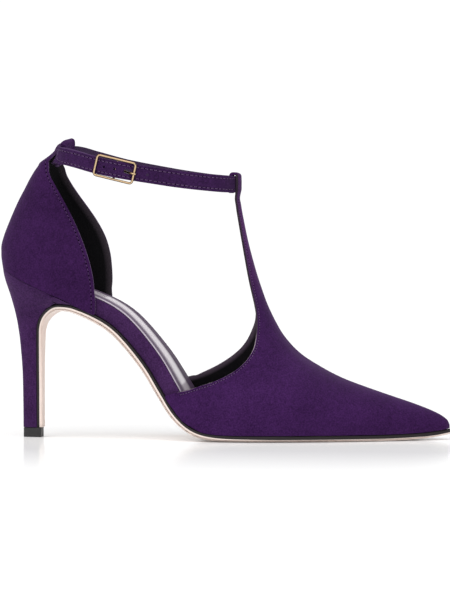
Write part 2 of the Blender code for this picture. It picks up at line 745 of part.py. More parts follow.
def make_quarter(finish):
    """Heel counter from the seat to its neck, then the tab that folds over the ankle strap."""
    angles = np.radians(np.linspace(-90, 90, 2 * QUARTER_HALF + 1))
    sides = np.sign(np.sin(angles))
    levels = column(LEVELS, LEVEL_COLUMNS, *LEVEL_COLUMNS)
    rows = smooth(np.arange(len(levels)), levels, np.linspace(0, len(levels) - 1, QUARTER_ROWS))
    grid = np.empty((QUARTER_ROWS + 1, len(angles), 3))
    for place, row in enumerate(rows):
        back_x, back_z, outer_x, outer_z, outer_y, inner_x, inner_z, inner_y, rounding = row
        wide = np.abs(np.sin(angles)) ** (2 / rounding)
        deep = np.abs(np.cos(angles)) ** (2 / rounding)
        front_x = np.where(sides < 0, outer_x, inner_x)
        front_z = np.where(sides < 0, outer_z, inner_z)
        grid[place + 1, :, 0] = front_x + (back_x - front_x) * deep
        grid[place + 1, :, 1] = np.where(sides < 0, -outer_y, inner_y) * wide
        grid[place + 1, :, 2] = front_z + (back_z - front_z) * deep
    deep = np.abs(np.cos(angles)) ** (2 / SEAT_ROUND)
    front_x = np.where(sides < 0, LEVELS[0][2] - 0.2, LEVELS[0][5] - 0.4)
    foot_x = front_x + (SEAT_BACK_X + 0.05 - front_x) * deep
    edges = bed_outline(foot_x)
    grid[0, :, 0] = foot_x
    grid[0, :, 1] = np.where(sides < 0, edges[:, 0] - UPPER_OVERHANG, edges[:, 1] + UPPER_OVERHANG)
    grid[0, np.abs(angles) < 1e-9, 1] = 0.0
    grid[0, :, 2] = bed_height(foot_x) + GAP
    tab = fold_rows(TAB_FOLD, STRAP_BACK_ROW, TAB_REACH_OUTER, TAB_REACH_INNER, len(angles), TAB_TILT)
    outer = np.vstack([grid, tab])
    inner = outer + UPPER_WALL * grid_normals(outer)
    inner[0, :, 2] = outer[0, :, 2]
    return wall("quarter", outer, inner, finish)


def make_strap(finish):
    """Ankle strap from the buckle round the ankle and back over itself, with the prong's hole."""
    run, rows, lift = strap_route()
    hole = run[BUCKLE_ROW] - np.array([HOLE_END, HOLE_START])
    even = np.linspace(0, run[-1], STRAP_ROWS)
    clear = (even < hole[0] - 1.5) | (even > hole[1] + 1.5)
    places = np.sort(np.concatenate([even[clear], hole]))
    points, out, up = strap_at(run, rows, lift, places)
    shares = (-0.5, -HOLE_SHARE, HOLE_SHARE, 0.5)
    across = [(share, 1) for share in shares] + [(share, -1) for share in reversed(shares)]
    around = len(across)
    rings = np.empty((len(places), around, 3))
    for place, (share, face) in enumerate(across):
        rings[:, place] = points + up * STRAP_WIDTH * share + out * STRAP_THICK / 2 * face
    at = int(np.searchsorted(places, hole[0]))
    pierced = {(at, 1), (at, 5)}
    faces = []
    for row in range(len(places) - 1):
        for place in range(around):
            if (row, place) in pierced:
                continue
            after = (place + 1) % around
            faces.append(ring_quad(around, (row, place), (row, after), (row + 1, after), (row + 1, place)))
    for row in (at, at + 1):
        faces.append(ring_quad(around, (row, 1), (row, 2), (row, 5), (row, 6)))
    for place, behind in ((1, 6), (2, 5)):
        faces.append(ring_quad(around, (at, place), (at + 1, place), (at + 1, behind), (at, behind)))
    faces.append(tuple(range(around)))
    faces.append(tuple((len(places) - 1) * around + place for place in range(around)))
    return make_object("ankle_strap", rings.reshape(-1, 3), faces, finish)


def buckle_axes():
    """Middle of the buckle on the strap's inner turn, with its forward, upward and outward directions."""
    run, rows, _ = strap_route()
    half = (BUCKLE_LENGTH - BUCKLE_WIRE) / 2
    ends = smooth(run, rows, run[BUCKLE_ROW] + np.array([half, -half]))
    forward = unit(ends[1] - ends[0])
    up = unit(np.array([0.0, 0.0, 1.0]) - forward * forward[2])
    out = np.cross(forward, up)
    turn = np.radians(BUCKLE_TURN)
    forward, up = np.cos(turn) * forward - np.sin(turn) * up, np.cos(turn) * up + np.sin(turn) * forward
    return rows[BUCKLE_ROW], np.array([forward, up, out])


def tube(name, path, axis, radius, finish, closed=False):
    """A round wire along a path that stays square to the given axis."""
    path = np.asarray(path, float)
    if closed:
        ahead = np.roll(path, -1, axis=0) - np.roll(path, 1, axis=0)
    else:
        ahead = np.gradient(path, axis=0)
    side = unit(np.cross(unit(ahead), axis))
    angles = np.linspace(0, 2 * np.pi, WIRE_SIDES, endpoint=False)
    turn = np.cos(angles)[None, :, None] * side[:, None] + np.sin(angles)[None, :, None] * np.asarray(axis)
    rings = path[:, None] + radius * turn
    if not closed:
        return loft(name, rings, finish)
    count = len(rings)
    faces = []
    for row in range(count):
        for place in range(WIRE_SIDES):
            after = (place + 1) % WIRE_SIDES
            following = (row + 1) % count
            quad = ((row, place), (row, after), (following, after), (following, place))
            faces.append(ring_quad(WIRE_SIDES, *quad))
    return make_object(name, rings.reshape(-1, 3), faces, finish)


def make_buckle_frame(finish):
    """Rounded rectangular wire frame outside the strap."""
    middle, axes = buckle_axes()
    reach = np.array([BUCKLE_LENGTH - BUCKLE_WIRE, BUCKLE_HEIGHT - BUCKLE_WIRE]) / 2 - BUCKLE_CORNER
    path = []
    for corner, (side_x, side_z) in enumerate(((1, 1), (-1, 1), (-1, -1), (1, -1))):
        for angle in np.radians(90 * corner + np.linspace(0, 90, CORNER_STEPS)):
            along = side_x * reach[0] + BUCKLE_CORNER * np.cos(angle)
            upward = side_z * reach[1] + BUCKLE_CORNER * np.sin(angle)
            path.append(middle + np.array([along, upward, BUCKLE_STAND]) @ axes)
    return tube("buckle_frame", path, axes[2], BUCKLE_WIRE / 2, finish, closed=True)


def make_buckle_bar(finish):
    """Straight middle bar under the frame's long sides, where the strap's end and the prong hang."""
    middle, axes = buckle_axes()
    reach = (BUCKLE_HEIGHT - BUCKLE_WIRE / 2) / 2
    path = [middle + np.array([0.0, upward, BAR_STAND]) @ axes for upward in (-reach, reach)]
    return tube("buckle_bar", path, axes[2], BUCKLE_WIRE / 2, finish)


def make_buckle_prong(finish):
    """Bent prong from the middle bar through the strap's hole onto the frame's front bar."""
    middle, axes = buckle_axes()
    bends = column(PRONG, PRONG_COLUMNS, "along", "out")
    run = chord(bends)
    bends = smooth(run, bends, np.linspace(0, run[-1], PRONG_ROWS))
    path = [middle + np.array([along, 0.0, BUCKLE_STAND + out]) @ axes for along, out in bends]
    return tube("buckle_prong", path, axes[1], PRONG_WIRE / 2, finish)


def main():
    for leftover in list(bpy.data.objects):
        bpy.data.objects.remove(leftover)
    suede = (0.048, 0.012, 0.089)
    gold = (0.83, 0.61, 0.27)
    make_outsole(make_finish("sole_leather", (0.60, 0.45, 0.35), 0.5))
    make_heel(make_finish("heel_suede", suede, 0.95))
    make_top_piece(make_finish("tip_rubber", (0.012, 0.011, 0.012), 0.6))
    make_insole(make_finish("insole_suede", suede, 0.95))
    make_sock(make_finish("sock_leather", (0.11, 0.05, 0.16), 0.25))
    make_vamp(make_finish("vamp_suede", suede, 0.95))
    make_quarter(make_finish("quarter_suede", suede, 0.95))
    make_strap(make_finish("strap_suede", suede, 0.95))
    make_buckle_frame(make_finish("frame_gold", gold, 0.25, 1.0))
    make_buckle_bar(make_finish("bar_gold", gold, 0.3, 1.0))
    make_buckle_prong(make_finish("prong_gold", gold, 0.25, 1.0))


main()
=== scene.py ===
"""Purple suede T-strap stiletto pump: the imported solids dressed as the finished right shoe.

Lengths are metres in the solids' own frame: +X to the toe, +Y to the inner side of the foot, +Z up.
"""

from __future__ import annotations

import logging
import math
from collections.abc import Callable, Iterator
from contextlib import contextmanager
from dataclasses import dataclass, field
from enum import Enum
from typing import ClassVar

import bmesh
import bpy
import numpy as np
from mathutils import Matrix, Vector
from mathutils.bvhtree import BVHTree
from mathutils.kdtree import KDTree

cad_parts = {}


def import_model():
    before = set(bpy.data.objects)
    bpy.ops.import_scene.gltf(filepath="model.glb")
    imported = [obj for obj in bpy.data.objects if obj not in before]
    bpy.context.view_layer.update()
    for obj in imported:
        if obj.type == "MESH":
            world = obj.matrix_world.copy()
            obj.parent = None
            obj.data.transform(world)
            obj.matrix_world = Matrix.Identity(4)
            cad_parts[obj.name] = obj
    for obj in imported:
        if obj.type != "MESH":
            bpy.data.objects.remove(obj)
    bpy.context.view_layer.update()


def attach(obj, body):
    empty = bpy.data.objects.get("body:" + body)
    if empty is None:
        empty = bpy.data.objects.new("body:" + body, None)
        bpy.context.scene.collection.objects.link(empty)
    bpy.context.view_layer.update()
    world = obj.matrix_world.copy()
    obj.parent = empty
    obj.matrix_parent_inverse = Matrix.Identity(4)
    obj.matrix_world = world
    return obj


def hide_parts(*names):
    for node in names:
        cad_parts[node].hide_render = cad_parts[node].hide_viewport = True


LOG = logging.getLogger("pump")
MM = 0.001
WELD = 0.01 * MM
SEAM_STEP = 0.6 * MM
ROUNDING_SLACK = 0.3 * MM
ROUNDING_LEVELS = 2
FITTING_PASSES = 4
EDGE_STEPS = 3

# Smallest angles that count as a corner, in degrees.
CORNER = 50.0
WALL_CORNER = 60.0
SOFT_CORNER = 40.0

# Depths into a wall, in thicknesses of its leather.
SKIN_DEPTH = 0.02
RIM_DEPTH = 1.7

# Rim faces of the filled toe point down more steeply than this.
TOE_RIM_NORMAL = -0.7

Colour = tuple[float, float, float]
Pattern = tuple[np.ndarray, list[tuple[int, ...]]]
Material = bpy.types.Material
Mesh = bpy.types.Mesh
Node = bpy.types.Node
NodeTree = bpy.types.NodeTree
Piece = bpy.types.Object
Socket = bpy.types.NodeSocket
Sockets = dict[str, Socket]


class SelectKind(Enum):
    """What edit mode selects."""

    EDGE = "EDGE"
    FACE = "FACE"


class WallFace(Enum):
    """Sides of a leather wall, as material slot numbers."""

    OUTSIDE = 0
    LINING = 1
    RIM = 2


@dataclass
class Graph:
    """A node tree with short calls to add and join its nodes."""

    tree: NodeTree

    def add(self, kind: str, **settings: object) -> Node:
        """Add a node.

        Args:
            kind: Blender's node type name.
            **settings: attributes, or input values where the name is that of an input with _ for spaces.

        Returns:
            The new node.
        """
        node = self.tree.nodes.new(kind)
        for key, value in settings.items():
            socket = node.inputs.get(key.replace("_", " "))
            if socket is not None and not hasattr(node, key):
                socket.default_value = value
            else:
                setattr(node, key, value)
        return node

    def join(self, source: Socket, target: Socket) -> None:
        """Link an output to an input."""
        self.tree.links.new(source, target)

    def maths(self, operation: str, first: Socket | float, second: Socket | float) -> Socket:
        """Add a Math node on two sockets or numbers.

        Args:
            operation: the node's operation.
            first: a socket or a number.
            second: a socket or a number.

        Returns:
            The node's output socket.
        """
        node = self.add("ShaderNodeMath", operation=operation)
        for place, value in enumerate((first, second)):
            if isinstance(value, Socket):
                self.join(value, node.inputs[place])
            else:
                node.inputs[place].default_value = value
        return node.outputs[0]

    def weigh(self, *parts: tuple[Socket, float]) -> Socket:
        """Add up values, each times its weight.

        Args:
            *parts: the values with their weights.

        Returns:
            The sum.
        """
        terms = [self.maths("MULTIPLY", value, weight) for value, weight in parts]
        total = terms[0]
        for term in terms[1:]:
            total = self.maths("ADD", total, term)
        return total

    def spread(self, value: Socket, start: float, end: float, low: float = 0.0, high: float = 1.0) -> Socket:
        """Map a value from one range onto another, held at both ends.

        Args:
            value: value to map.
            start: value that gives low.
            end: value that gives high.
            low: result at the start.
            high: result at the end.

        Returns:
            The mapped value.
        """
        node = self.add("ShaderNodeMapRange", From_Min=start, From_Max=end, To_Min=low, To_Max=high)
        self.join(value, node.inputs["Value"])
        return node.outputs[0]

    def along(self, place: Socket, axis: str) -> Socket:
        """Take one coordinate of a place.

        Args:
            place: coordinates.
            axis: X, Y or Z.

        Returns:
            The coordinate.
        """
        node = self.add("ShaderNodeSeparateXYZ")
        self.join(place, node.inputs[0])
        return node.outputs[axis]

    def stretch(self, place: Socket, scale: tuple[float, float, float]) -> Socket:
        """Scale coordinates along each axis.

        Args:
            place: coordinates.
            scale: scale along X, Y and Z.

        Returns:
            The scaled coordinates.
        """
        node = self.add("ShaderNodeMapping", vector_type="POINT", Scale=scale)
        self.join(place, node.inputs["Vector"])
        return node.outputs[0]

    def attribute(self, name: str) -> Socket:
        """A number that the mesh holds at each point."""
        return self.add("ShaderNodeAttribute", attribute_name=name).outputs["Fac"]

    def noise(self, place: Socket, scale: Socket | float, detail: float, rough: float) -> Socket:
        """Add a noise texture.

        Args:
            place: coordinates.
            scale: a socket or a number.
            detail: octaves.
            rough: how strong the finer octaves are.

        Returns:
            The texture's value.
        """
        node = self.add("ShaderNodeTexNoise", Detail=detail, Roughness=rough)
        self.join(place, node.inputs["Vector"])
        if isinstance(scale, Socket):
            self.join(scale, node.inputs["Scale"])
        else:
            node.inputs["Scale"].default_value = scale
        return node.outputs[0]

    def effect(self, group: NodeTree, place: Socket, **values: float) -> Node:
        """Place a shared node group.

        Args:
            group: the shared group.
            place: coordinates for it.
            **values: numbers for its other inputs.

        Returns:
            The group node.
        """
        node = self.add("ShaderNodeGroup", node_tree=group)
        self.join(place, node.inputs["Vector"])
        for key, value in values.items():
            node.inputs[key].default_value = value
        return node

    def ramp(self, value: Socket, marks: list[tuple[float, Colour]]) -> Socket:
        """Turn a value into a colour.

        Args:
            value: value from 0 to 1.
            marks: two or more values with their colours, lowest first.

        Returns:
            The colour.
        """
        node = self.add("ShaderNodeValToRGB")
        stops = node.color_ramp.elements
        for number, (position, colour) in enumerate(marks):
            stop = stops[number] if number < 2 else stops.new(position)
            stop.position = position
            stop.color = (*colour, 1.0)
        self.join(value, node.inputs["Fac"])
        return node.outputs["Color"]

    def blend(self, share: Socket, target: Socket) -> tuple[Socket, Socket]:
        """Blend two colours into a colour input.

        Args:
            share: share of the second colour, from 0 to 1.
            target: input that gets the blend.

        Returns:
            The inputs for the first and the second colour.
        """
        node = self.add("ShaderNodeMix", data_type="RGBA")
        self.join(share, node.inputs["Factor"])
        self.join(node.outputs["Result"], target)
        return node.inputs["A"], node.inputs["B"]

    def relief(self, height: Socket, depth: float, strength: float, shader: Node) -> None:
        """Give a shader a bump.

        Args:
            height: height value.
            depth: real depth.
            strength: strength of the bump.
            shader: shader that gets the normal.
        """
        node = self.add("ShaderNodeBump", Strength=strength, Distance=depth)
        self.join(height, node.inputs["Height"])
        self.join(node.outputs["Normal"], shader.inputs["Normal"])


def open_group(
    name: str, inputs: dict[str, float], outputs: tuple[str, ...]
) -> tuple[Graph, Sockets, Sockets]:
    """Start a shader node group with a Vector input.

    Args:
        name: name of the group.
        inputs: further number inputs with their usual values.
        outputs: names of the number outputs.

    Returns:
        The group's graph, its input sockets and its output sockets, by name.
    """
    tree = bpy.data.node_groups.new(name, "ShaderNodeTree")
    tree.interface.new_socket(name="Vector", in_out="INPUT", socket_type="NodeSocketVector")
    for key, value in inputs.items():
        socket = tree.interface.new_socket(name=key, in_out="INPUT", socket_type="NodeSocketFloat")
        socket.default_value = value
    for key in outputs:
        tree.interface.new_socket(name=key, in_out="OUTPUT", socket_type="NodeSocketFloat")
    graph = Graph(tree)
    start = graph.add("NodeGroupInput")
    end = graph.add("NodeGroupOutput")
    return graph, {s.name: s for s in start.outputs}, {s.name: s for s in end.inputs}


@dataclass
class Effects:
    """Node groups that several finishes share, each built once."""

    stroke_scale: float = 420.0
    stroke_stretch: tuple[float, float, float] = (1.0, 1.0, 0.7)
    hair_stretch: tuple[float, float, float] = (0.3, 1.0, 3.5)
    hair_finer: float = 9.0
    hide_scale: float = 55.0
    pores_finer: float = 2.4
    cell_edge: float = 0.35
    nap_range: tuple[float, float] = (0.36, 0.64)
    made: dict[str, NodeTree] = field(default_factory=dict)

    def nap(self) -> NodeTree:
        """Brushed suede: cloudy shade where the nap lies differently, and short fibres.

        Returns:
            A group with Shade and Height outputs.
        """
        if "nap" not in self.made:
            graph, given, out = open_group("suede_nap", {"Cloud": 42.0, "Fibre": 1250.0}, ("Shade", "Height"))
            cloud = graph.noise(given["Vector"], given["Cloud"], detail=3.0, rough=0.55)
            brushed = graph.stretch(given["Vector"], self.stroke_stretch)
            strokes = graph.noise(brushed, self.stroke_scale, detail=4.0, rough=0.6)
            fibre = graph.noise(given["Vector"], given["Fibre"], detail=2.0, rough=0.6)
            mixed = graph.weigh((cloud, 0.26), (strokes, 0.20), (fibre, 0.54))
            graph.join(graph.spread(mixed, *self.nap_range), out["Shade"])
            graph.join(graph.weigh((fibre, 0.75), (strokes, 0.25)), out["Height"])
            self.made["nap"] = graph.tree
        return self.made["nap"]

    def grain(self) -> NodeTree:
        """Smooth leather: small cells with fine pores.

        Returns:
            A group with Shade and Height outputs.
        """
        if "grain" not in self.made:
            graph, given, out = open_group("leather_grain", {"Scale": 900.0}, ("Shade", "Height"))
            cells = graph.add("ShaderNodeTexVoronoi", feature="DISTANCE_TO_EDGE")
            graph.join(given["Vector"], cells.inputs["Vector"])
            graph.join(given["Scale"], cells.inputs["Scale"])
            lifted = graph.spread(cells.outputs[0], 0.0, self.cell_edge)
            broad = graph.noise(given["Vector"], self.hide_scale, detail=3.0, rough=0.5)
            pore_scale = graph.maths("MULTIPLY", given["Scale"], self.pores_finer)
            pores = graph.noise(given["Vector"], pore_scale, detail=2.0, rough=0.5)
            graph.join(graph.weigh((lifted, 1.0), (pores, 0.4)), out["Height"])
            graph.join(graph.weigh((broad, 0.7), (pores, 0.3)), out["Shade"])
            self.made["grain"] = graph.tree
        return self.made["grain"]

    def rubbing(self) -> NodeTree:
        """Handling marks: soft smears and fine hairline scratches.

        Returns:
            A group with a Wear output.
        """
        if "rubbing" not in self.made:
            graph, given, out = open_group("rubbing", {"Scale": 160.0}, ("Wear",))
            smear = graph.noise(given["Vector"], given["Scale"], detail=4.0, rough=0.6)
            drawn = graph.stretch(given["Vector"], self.hair_stretch)
            hair_scale = graph.maths("MULTIPLY", given["Scale"], self.hair_finer)
            hair = graph.noise(drawn, hair_scale, detail=2.0, rough=0.5)
            graph.join(graph.weigh((smear, 0.6), (hair, 0.4)), out["Wear"])
            self.made["rubbing"] = graph.tree
        return self.made["rubbing"]


EFFECTS = Effects()


@dataclass(frozen=True)
class Finish:
    """A material made of nodes, with the parts that every kind of finish needs."""

    name: str

    def begin(self) -> tuple[Material, Graph, Node, Socket]:
        """Start the material.

        Returns:
            The material, its graph, its Principled shader and the object coordinates.
        """
        material = bpy.data.materials.new(self.name)
        material.use_nodes = True
        graph = Graph(material.node_tree)
        shader = material.node_tree.nodes["Principled BSDF"]
        return material, graph, shader, graph.add("ShaderNodeTexCoord").outputs["Object"]

    def make(self) -> Material:
        """Build the material, in each kind of finish."""
        raise NotImplementedError

    @staticmethod
    def settle(shader: Node, **values: object) -> None:
        """Set plain values of a shader, by its inputs' names with _ for spaces."""
        for key, value in values.items():
            shader.inputs[key.replace("_", " ")].default_value = value


@dataclass(frozen=True)
class Dyed(Finish):
    """A finish that varies between two colours."""

    deep: Colour = (0.0, 0.0, 0.0)
    light: Colour = (1.0, 1.0, 1.0)

    def dye(self, graph: Graph, shade: Socket, place: Socket, target: Socket) -> None:
        """Colour the surface.

        Args:
            graph: graph to add to.
            shade: share of the light colour, from 0 to 1.
            place: object coordinates.
            target: input that gets the colour.
        """
        graph.join(graph.ramp(shade, [(0.0, self.deep), (1.0, self.light)]), target)


@dataclass(frozen=True)
class Suede(Dyed):
    """Soft brushed leather that lightens towards its outline."""

    deep: Colour = (0.0200, 0.0036, 0.0355)
    light: Colour = (0.0520, 0.0120, 0.0900)
    cloud: float = 42.0
    rough: tuple[float, float] = (0.98, 0.86)
    nap_depth: float = 0.22 * MM
    nap_strength: float = 0.55
    gloss: float = 0.12
    sheen: float = 0.16
    sheen_rough: float = 0.42
    sheen_tint: Colour = (0.62, 0.42, 0.74)

    def make(self) -> Material:
        """Build the material.

        Returns:
            The material.
        """
        material, graph, shader, place = self.begin()
        nap = graph.effect(EFFECTS.nap(), place, Cloud=self.cloud)
        self.dye(graph, nap.outputs["Shade"], place, shader.inputs["Base Color"])
        graph.join(graph.spread(nap.outputs["Shade"], 0.0, 1.0, *self.rough), shader.inputs["Roughness"])
        graph.relief(nap.outputs["Height"], self.nap_depth, self.nap_strength, shader)
        self.settle(
            shader,
            Specular_IOR_Level=self.gloss,
            Sheen_Weight=self.sheen,
            Sheen_Roughness=self.sheen_rough,
            Sheen_Tint=(*self.sheen_tint, 1.0),
        )
        return material


@dataclass(frozen=True)
class RisingSuede(Suede):
    """Suede whose colour changes with its height on the shoe."""

    TOP: ClassVar[float] = 160.0 * MM
    high_deep: Colour = (0.0410, 0.0085, 0.0600)
    high_light: Colour = (0.1060, 0.0260, 0.1500)
    stops: tuple[tuple[float, float], ...] = ((76.0 * MM, 0.0), (102.0 * MM, 1.0))

    def dye(self, graph: Graph, shade: Socket, place: Socket, target: Socket) -> None:
        """Colour the nap, from the low colours to the high ones.

        Args:
            graph: graph to add to.
            shade: share of the light colours, from 0 to 1.
            place: object coordinates.
            target: input that gets the colour.
        """
        rise = graph.maths("DIVIDE", graph.along(place, "Z"), self.TOP)
        marks = [(height / self.TOP, (share, share, share)) for height, share in self.stops]
        low, high = graph.blend(graph.ramp(rise, marks), target)
        super().dye(graph, shade, place, low)
        graph.join(graph.ramp(shade, [(0.0, self.high_deep), (1.0, self.high_light)]), high)


@dataclass(frozen=True)
class Leather(Dyed):
    """Smooth grained leather."""

    rough: tuple[float, float] = (0.48, 0.62)
    scale: float = 1100.0
    depth: float = 0.08 * MM
    strength: float = 0.35
    gloss: float = 0.4

    def make(self) -> Material:
        """Build the material.

        Returns:
            The material.
        """
        material, graph, shader, place = self.begin()
        grain = graph.effect(EFFECTS.grain(), place, Scale=self.scale)
        self.dye(graph, grain.outputs["Shade"], place, shader.inputs["Base Color"])
        graph.join(graph.spread(grain.outputs["Shade"], 0.0, 1.0, *self.rough), shader.inputs["Roughness"])
        graph.relief(grain.outputs["Height"], self.depth, self.strength, shader)
        self.settle(shader, Specular_IOR_Level=self.gloss)
        return material


@dataclass(frozen=True)
class HoleShade(Leather):
    """Painted shade: near-black discs laid where a seam's needle holes are."""

    deep: Colour = (0.0015, 0.0008, 0.0022)
    light: Colour = (0.0045, 0.0022, 0.0064)
    rough: tuple[float, float] = (0.9, 1.0)
    gloss: float = 0.0


@dataclass(frozen=True)
class Lining(Leather):
    """Dark lining leather with painted light: paler towards the edge that it is sewn to, where light reaches
    into the shoe.
    """

    deep: Colour = (0.0018, 0.0014, 0.0022)
    light: Colour = (0.0040, 0.0034, 0.0048)
    gloss: float = 0.2
    # Painted light near the edge, fading into the dark lining deeper in.
    edge: Colour = (0.1150, 0.0830, 0.1180)
    fade: tuple[float, float] = (1.6 * MM, 3.6 * MM)

    def dye(self, graph: Graph, shade: Socket, place: Socket, target: Socket) -> None:
        """Colour the lining, from the painted light at the edge to its own colour.

        Args:
            graph: graph to add to.
            shade: share of the light colour, from 0 to 1.
            place: object coordinates.
            target: input that gets the colour.
        """
        near = graph.spread(graph.attribute(LeatherWall.FROM_EDGE), *self.fade, 1.0, 0.0)
        own, edge = graph.blend(near, target)
        super().dye(graph, shade, place, own)
        edge.default_value = (*self.edge, 1.0)


@dataclass(frozen=True)
class SoleLeather(Leather):
    """Pale sole leather whose edge is painted black down from its upper corner, further at the ball."""

    deep: Colour = (0.79, 0.650, 0.580)
    light: Colour = (0.91, 0.800, 0.740)
    rough: tuple[float, float] = (0.36, 0.52)
    scale: float = 420.0
    depth: float = 0.06 * MM
    strength: float = 0.12
    gloss: float = 0.3
    paint: Colour = (0.0140, 0.0100, 0.0115)
    paint_ends: tuple[float, float] = (0.42, 0.10)
    paint_fade: float = 0.05
    paint_ragged: float = 0.10
    arch_ends: float = -10.0 * MM
    ball_starts: float = 30.0 * MM

    def dye(self, graph: Graph, shade: Socket, place: Socket, target: Socket) -> None:
        """Colour the leather and paint its edge.

        Args:
            graph: graph to add to.
            shade: share of the light colour, from 0 to 1.
            place: object coordinates.
            target: input that gets the colour.
        """
        ragged = graph.maths("MULTIPLY", graph.maths("SUBTRACT", shade, 0.5), self.paint_ragged)
        limit = graph.spread(graph.along(place, "X"), self.arch_ends, self.ball_starts, *self.paint_ends)
        height = graph.maths("ADD", graph.attribute(Sole.RISE), ragged)
        painted = graph.spread(graph.maths("SUBTRACT", height, limit), 0.0, self.paint_fade)
        bare, paint = graph.blend(painted, target)
        super().dye(graph, shade, place, bare)
        paint.default_value = (*self.paint, 1.0)


@dataclass(frozen=True)
class SockLeather(Finish):
    """Sock leather with a pale cut edge, glossy along the near half of its crown, where a painted highlight
    stripe lightens its colour.
    """

    edge: Colour = (0.52, 0.46, 0.53)
    near: Colour = (0.195, 0.152, 0.215)
    # Painted highlight: the pale stripe along the crown stands in for a reflection of the light.
    painted_highlight: Colour = (0.970, 0.880, 0.960)
    far: Colour = (0.125, 0.084, 0.142)
    edge_ends: tuple[float, float] = (0.022, 0.040)
    shine: tuple[float, float, float, float] = (0.13, 0.26, 0.42, 0.57)
    shine_wander: float = 0.05
    gloss: float = 0.9
    gloss_rough: float = 0.16
    rough: tuple[float, float] = (0.42, 0.55)
    scale: float = 1400.0
    depth: float = 0.05 * MM
    strength: float = 0.06

    def make(self) -> Material:
        """Build the material.

        Returns:
            The material.
        """
        material, graph, shader, place = self.begin()
        grain = graph.effect(EFFECTS.grain(), place, Scale=self.scale)
        uneven = graph.maths("SUBTRACT", grain.outputs["Shade"], 0.5)
        wander = graph.maths("MULTIPLY", uneven, self.shine_wander)
        spot = graph.maths("ADD", graph.attribute(FootBed.ACROSS), wander)
        starts, full, full_ends, ends = self.shine
        cut, covered = self.edge_ends
        # Colour across the sock, with the painted highlight stripe between the near and far tones.
        colours = [
            (0.0, self.edge),
            (cut, self.edge),
            (covered, self.near),
            (starts, self.near),
            (full, self.painted_highlight),
            (full_ends, self.painted_highlight),
            (ends, self.far),
            (1.0, self.far),
        ]
        graph.join(graph.ramp(spot, colours), shader.inputs["Base Color"])
        dull = (0.0, 0.0, 0.0)
        bright = (self.gloss, self.gloss, self.gloss)
        band = [(starts, dull), (full, bright), (full_ends, bright), (ends, dull)]
        graph.join(graph.ramp(spot, band), shader.inputs["Coat Weight"])
        graph.join(graph.spread(grain.outputs["Shade"], 0.0, 1.0, *self.rough), shader.inputs["Roughness"])
        graph.relief(grain.outputs["Height"], self.depth, self.strength, shader)
        self.settle(shader, Coat_Roughness=self.gloss_rough, Coat_IOR=1.5, Specular_IOR_Level=0.02)
        return material


@dataclass(frozen=True)
class Gilt(Dyed):
    """Polished pale gold plating, with a painted dark reflection that browns the wire where it turns away
    from the view.
    """

    deep: Colour = (0.58, 0.40, 0.22)
    light: Colour = (0.90, 0.68, 0.44)
    # Colour of the painted dark reflection on the sides of the wire.
    side: Colour = (0.120, 0.066, 0.028)
    turn: tuple[float, float] = (0.02, 0.26)
    rough: tuple[float, float] = (0.12, 0.24)
    scale: float = 420.0

    def make(self) -> Material:
        """Build the material.

        Returns:
            The material.
        """
        material, graph, shader, place = self.begin()
        wear = graph.effect(EFFECTS.rubbing(), place, Scale=self.scale).outputs["Wear"]
        # Painted dark reflection: blend to the brown side colour where the surface turns away from the view.
        turned = graph.add("ShaderNodeLayerWeight", Blend=0.5).outputs["Facing"]
        front, side = graph.blend(graph.spread(turned, *self.turn), shader.inputs["Base Color"])
        self.dye(graph, wear, place, front)
        side.default_value = (*self.side, 1.0)
        graph.join(graph.spread(wear, 0.0, 1.0, *self.rough), shader.inputs["Roughness"])
        self.settle(shader, Metallic=1.0)
        return material


@dataclass(frozen=True)
class Rubber(Dyed):
    """Hard black rubber with worn edges."""

    deep: Colour = (0.006, 0.006, 0.007)
    light: Colour = (0.022, 0.021, 0.022)
    rough: tuple[float, float] = (0.42, 0.68)
    scale: float = 300.0
    depth: float = 0.10 * MM
    strength: float = 0.3

    def make(self) -> Material:
        """Build the material.

        Returns:
            The material.
        """
        material, graph, shader, place = self.begin()
        wear = graph.effect(EFFECTS.rubbing(), place, Scale=self.scale).outputs["Wear"]
        self.dye(graph, wear, place, shader.inputs["Base Color"])
        graph.join(graph.spread(wear, 0.0, 1.0, *self.rough), shader.inputs["Roughness"])
        graph.relief(wear, self.depth, self.strength, shader)
        return material


@dataclass(frozen=True)
class Thread(Dyed):
    """Twisted sewing thread."""

    deep: Colour = (0.095, 0.048, 0.125)
    light: Colour = (0.230, 0.140, 0.280)
    strand_scale: float = 2600.0
    depth: float = 0.12 * MM
    strength: float = 0.5
    rough: float = 0.62
    gloss: float = 0.2

    def make(self) -> Material:
        """Build the material.

        Returns:
            The material.
        """
        material, graph, shader, place = self.begin()
        strands = graph.noise(place, self.strand_scale, detail=2.0, rough=0.5)
        self.dye(graph, strands, place, shader.inputs["Base Color"])
        graph.relief(strands, self.depth, self.strength, shader)
        self.settle(shader, Roughness=self.rough, Specular_IOR_Level=self.gloss)
        return material


@dataclass(frozen=True)
class PaleFloor(Dyed):
    """White studio board, lightly polished where the shoe stands."""

    deep: Colour = (0.92, 0.92, 0.92)
    light: Colour = (0.96, 0.96, 0.96)
    cloud: float = 6.0
    glow: float = 0.04
    polish: float = 0.55
    polish_ends: tuple[float, float] = (-0.27, -0.10)
    polish_rough: float = 0.14
    rough: float = 0.9

    def make(self) -> Material:
        """Build the material.

        Returns:
            The material.
        """
        material, graph, shader, place = self.begin()
        cloud = graph.noise(place, self.cloud, detail=2.0, rough=0.5)
        self.dye(graph, cloud, place, shader.inputs["Base Color"])
        fade = graph.spread(graph.along(place, "Y"), *self.polish_ends, 0.0, self.polish)
        graph.join(fade, shader.inputs["Coat Weight"])
        self.settle(
            shader,
            Coat_Roughness=self.polish_rough,
            Roughness=self.rough,
            Specular_IOR_Level=0.0,
            Emission_Color=(1.0, 1.0, 1.0, 1.0),
            Emission_Strength=self.glow,
        )
        return material


def select_only(piece: Piece) -> None:
    """Deselect everything, then select one object and make it active."""
    bpy.ops.object.select_all(action="DESELECT")
    piece.select_set(True)
    bpy.context.view_layer.objects.active = piece


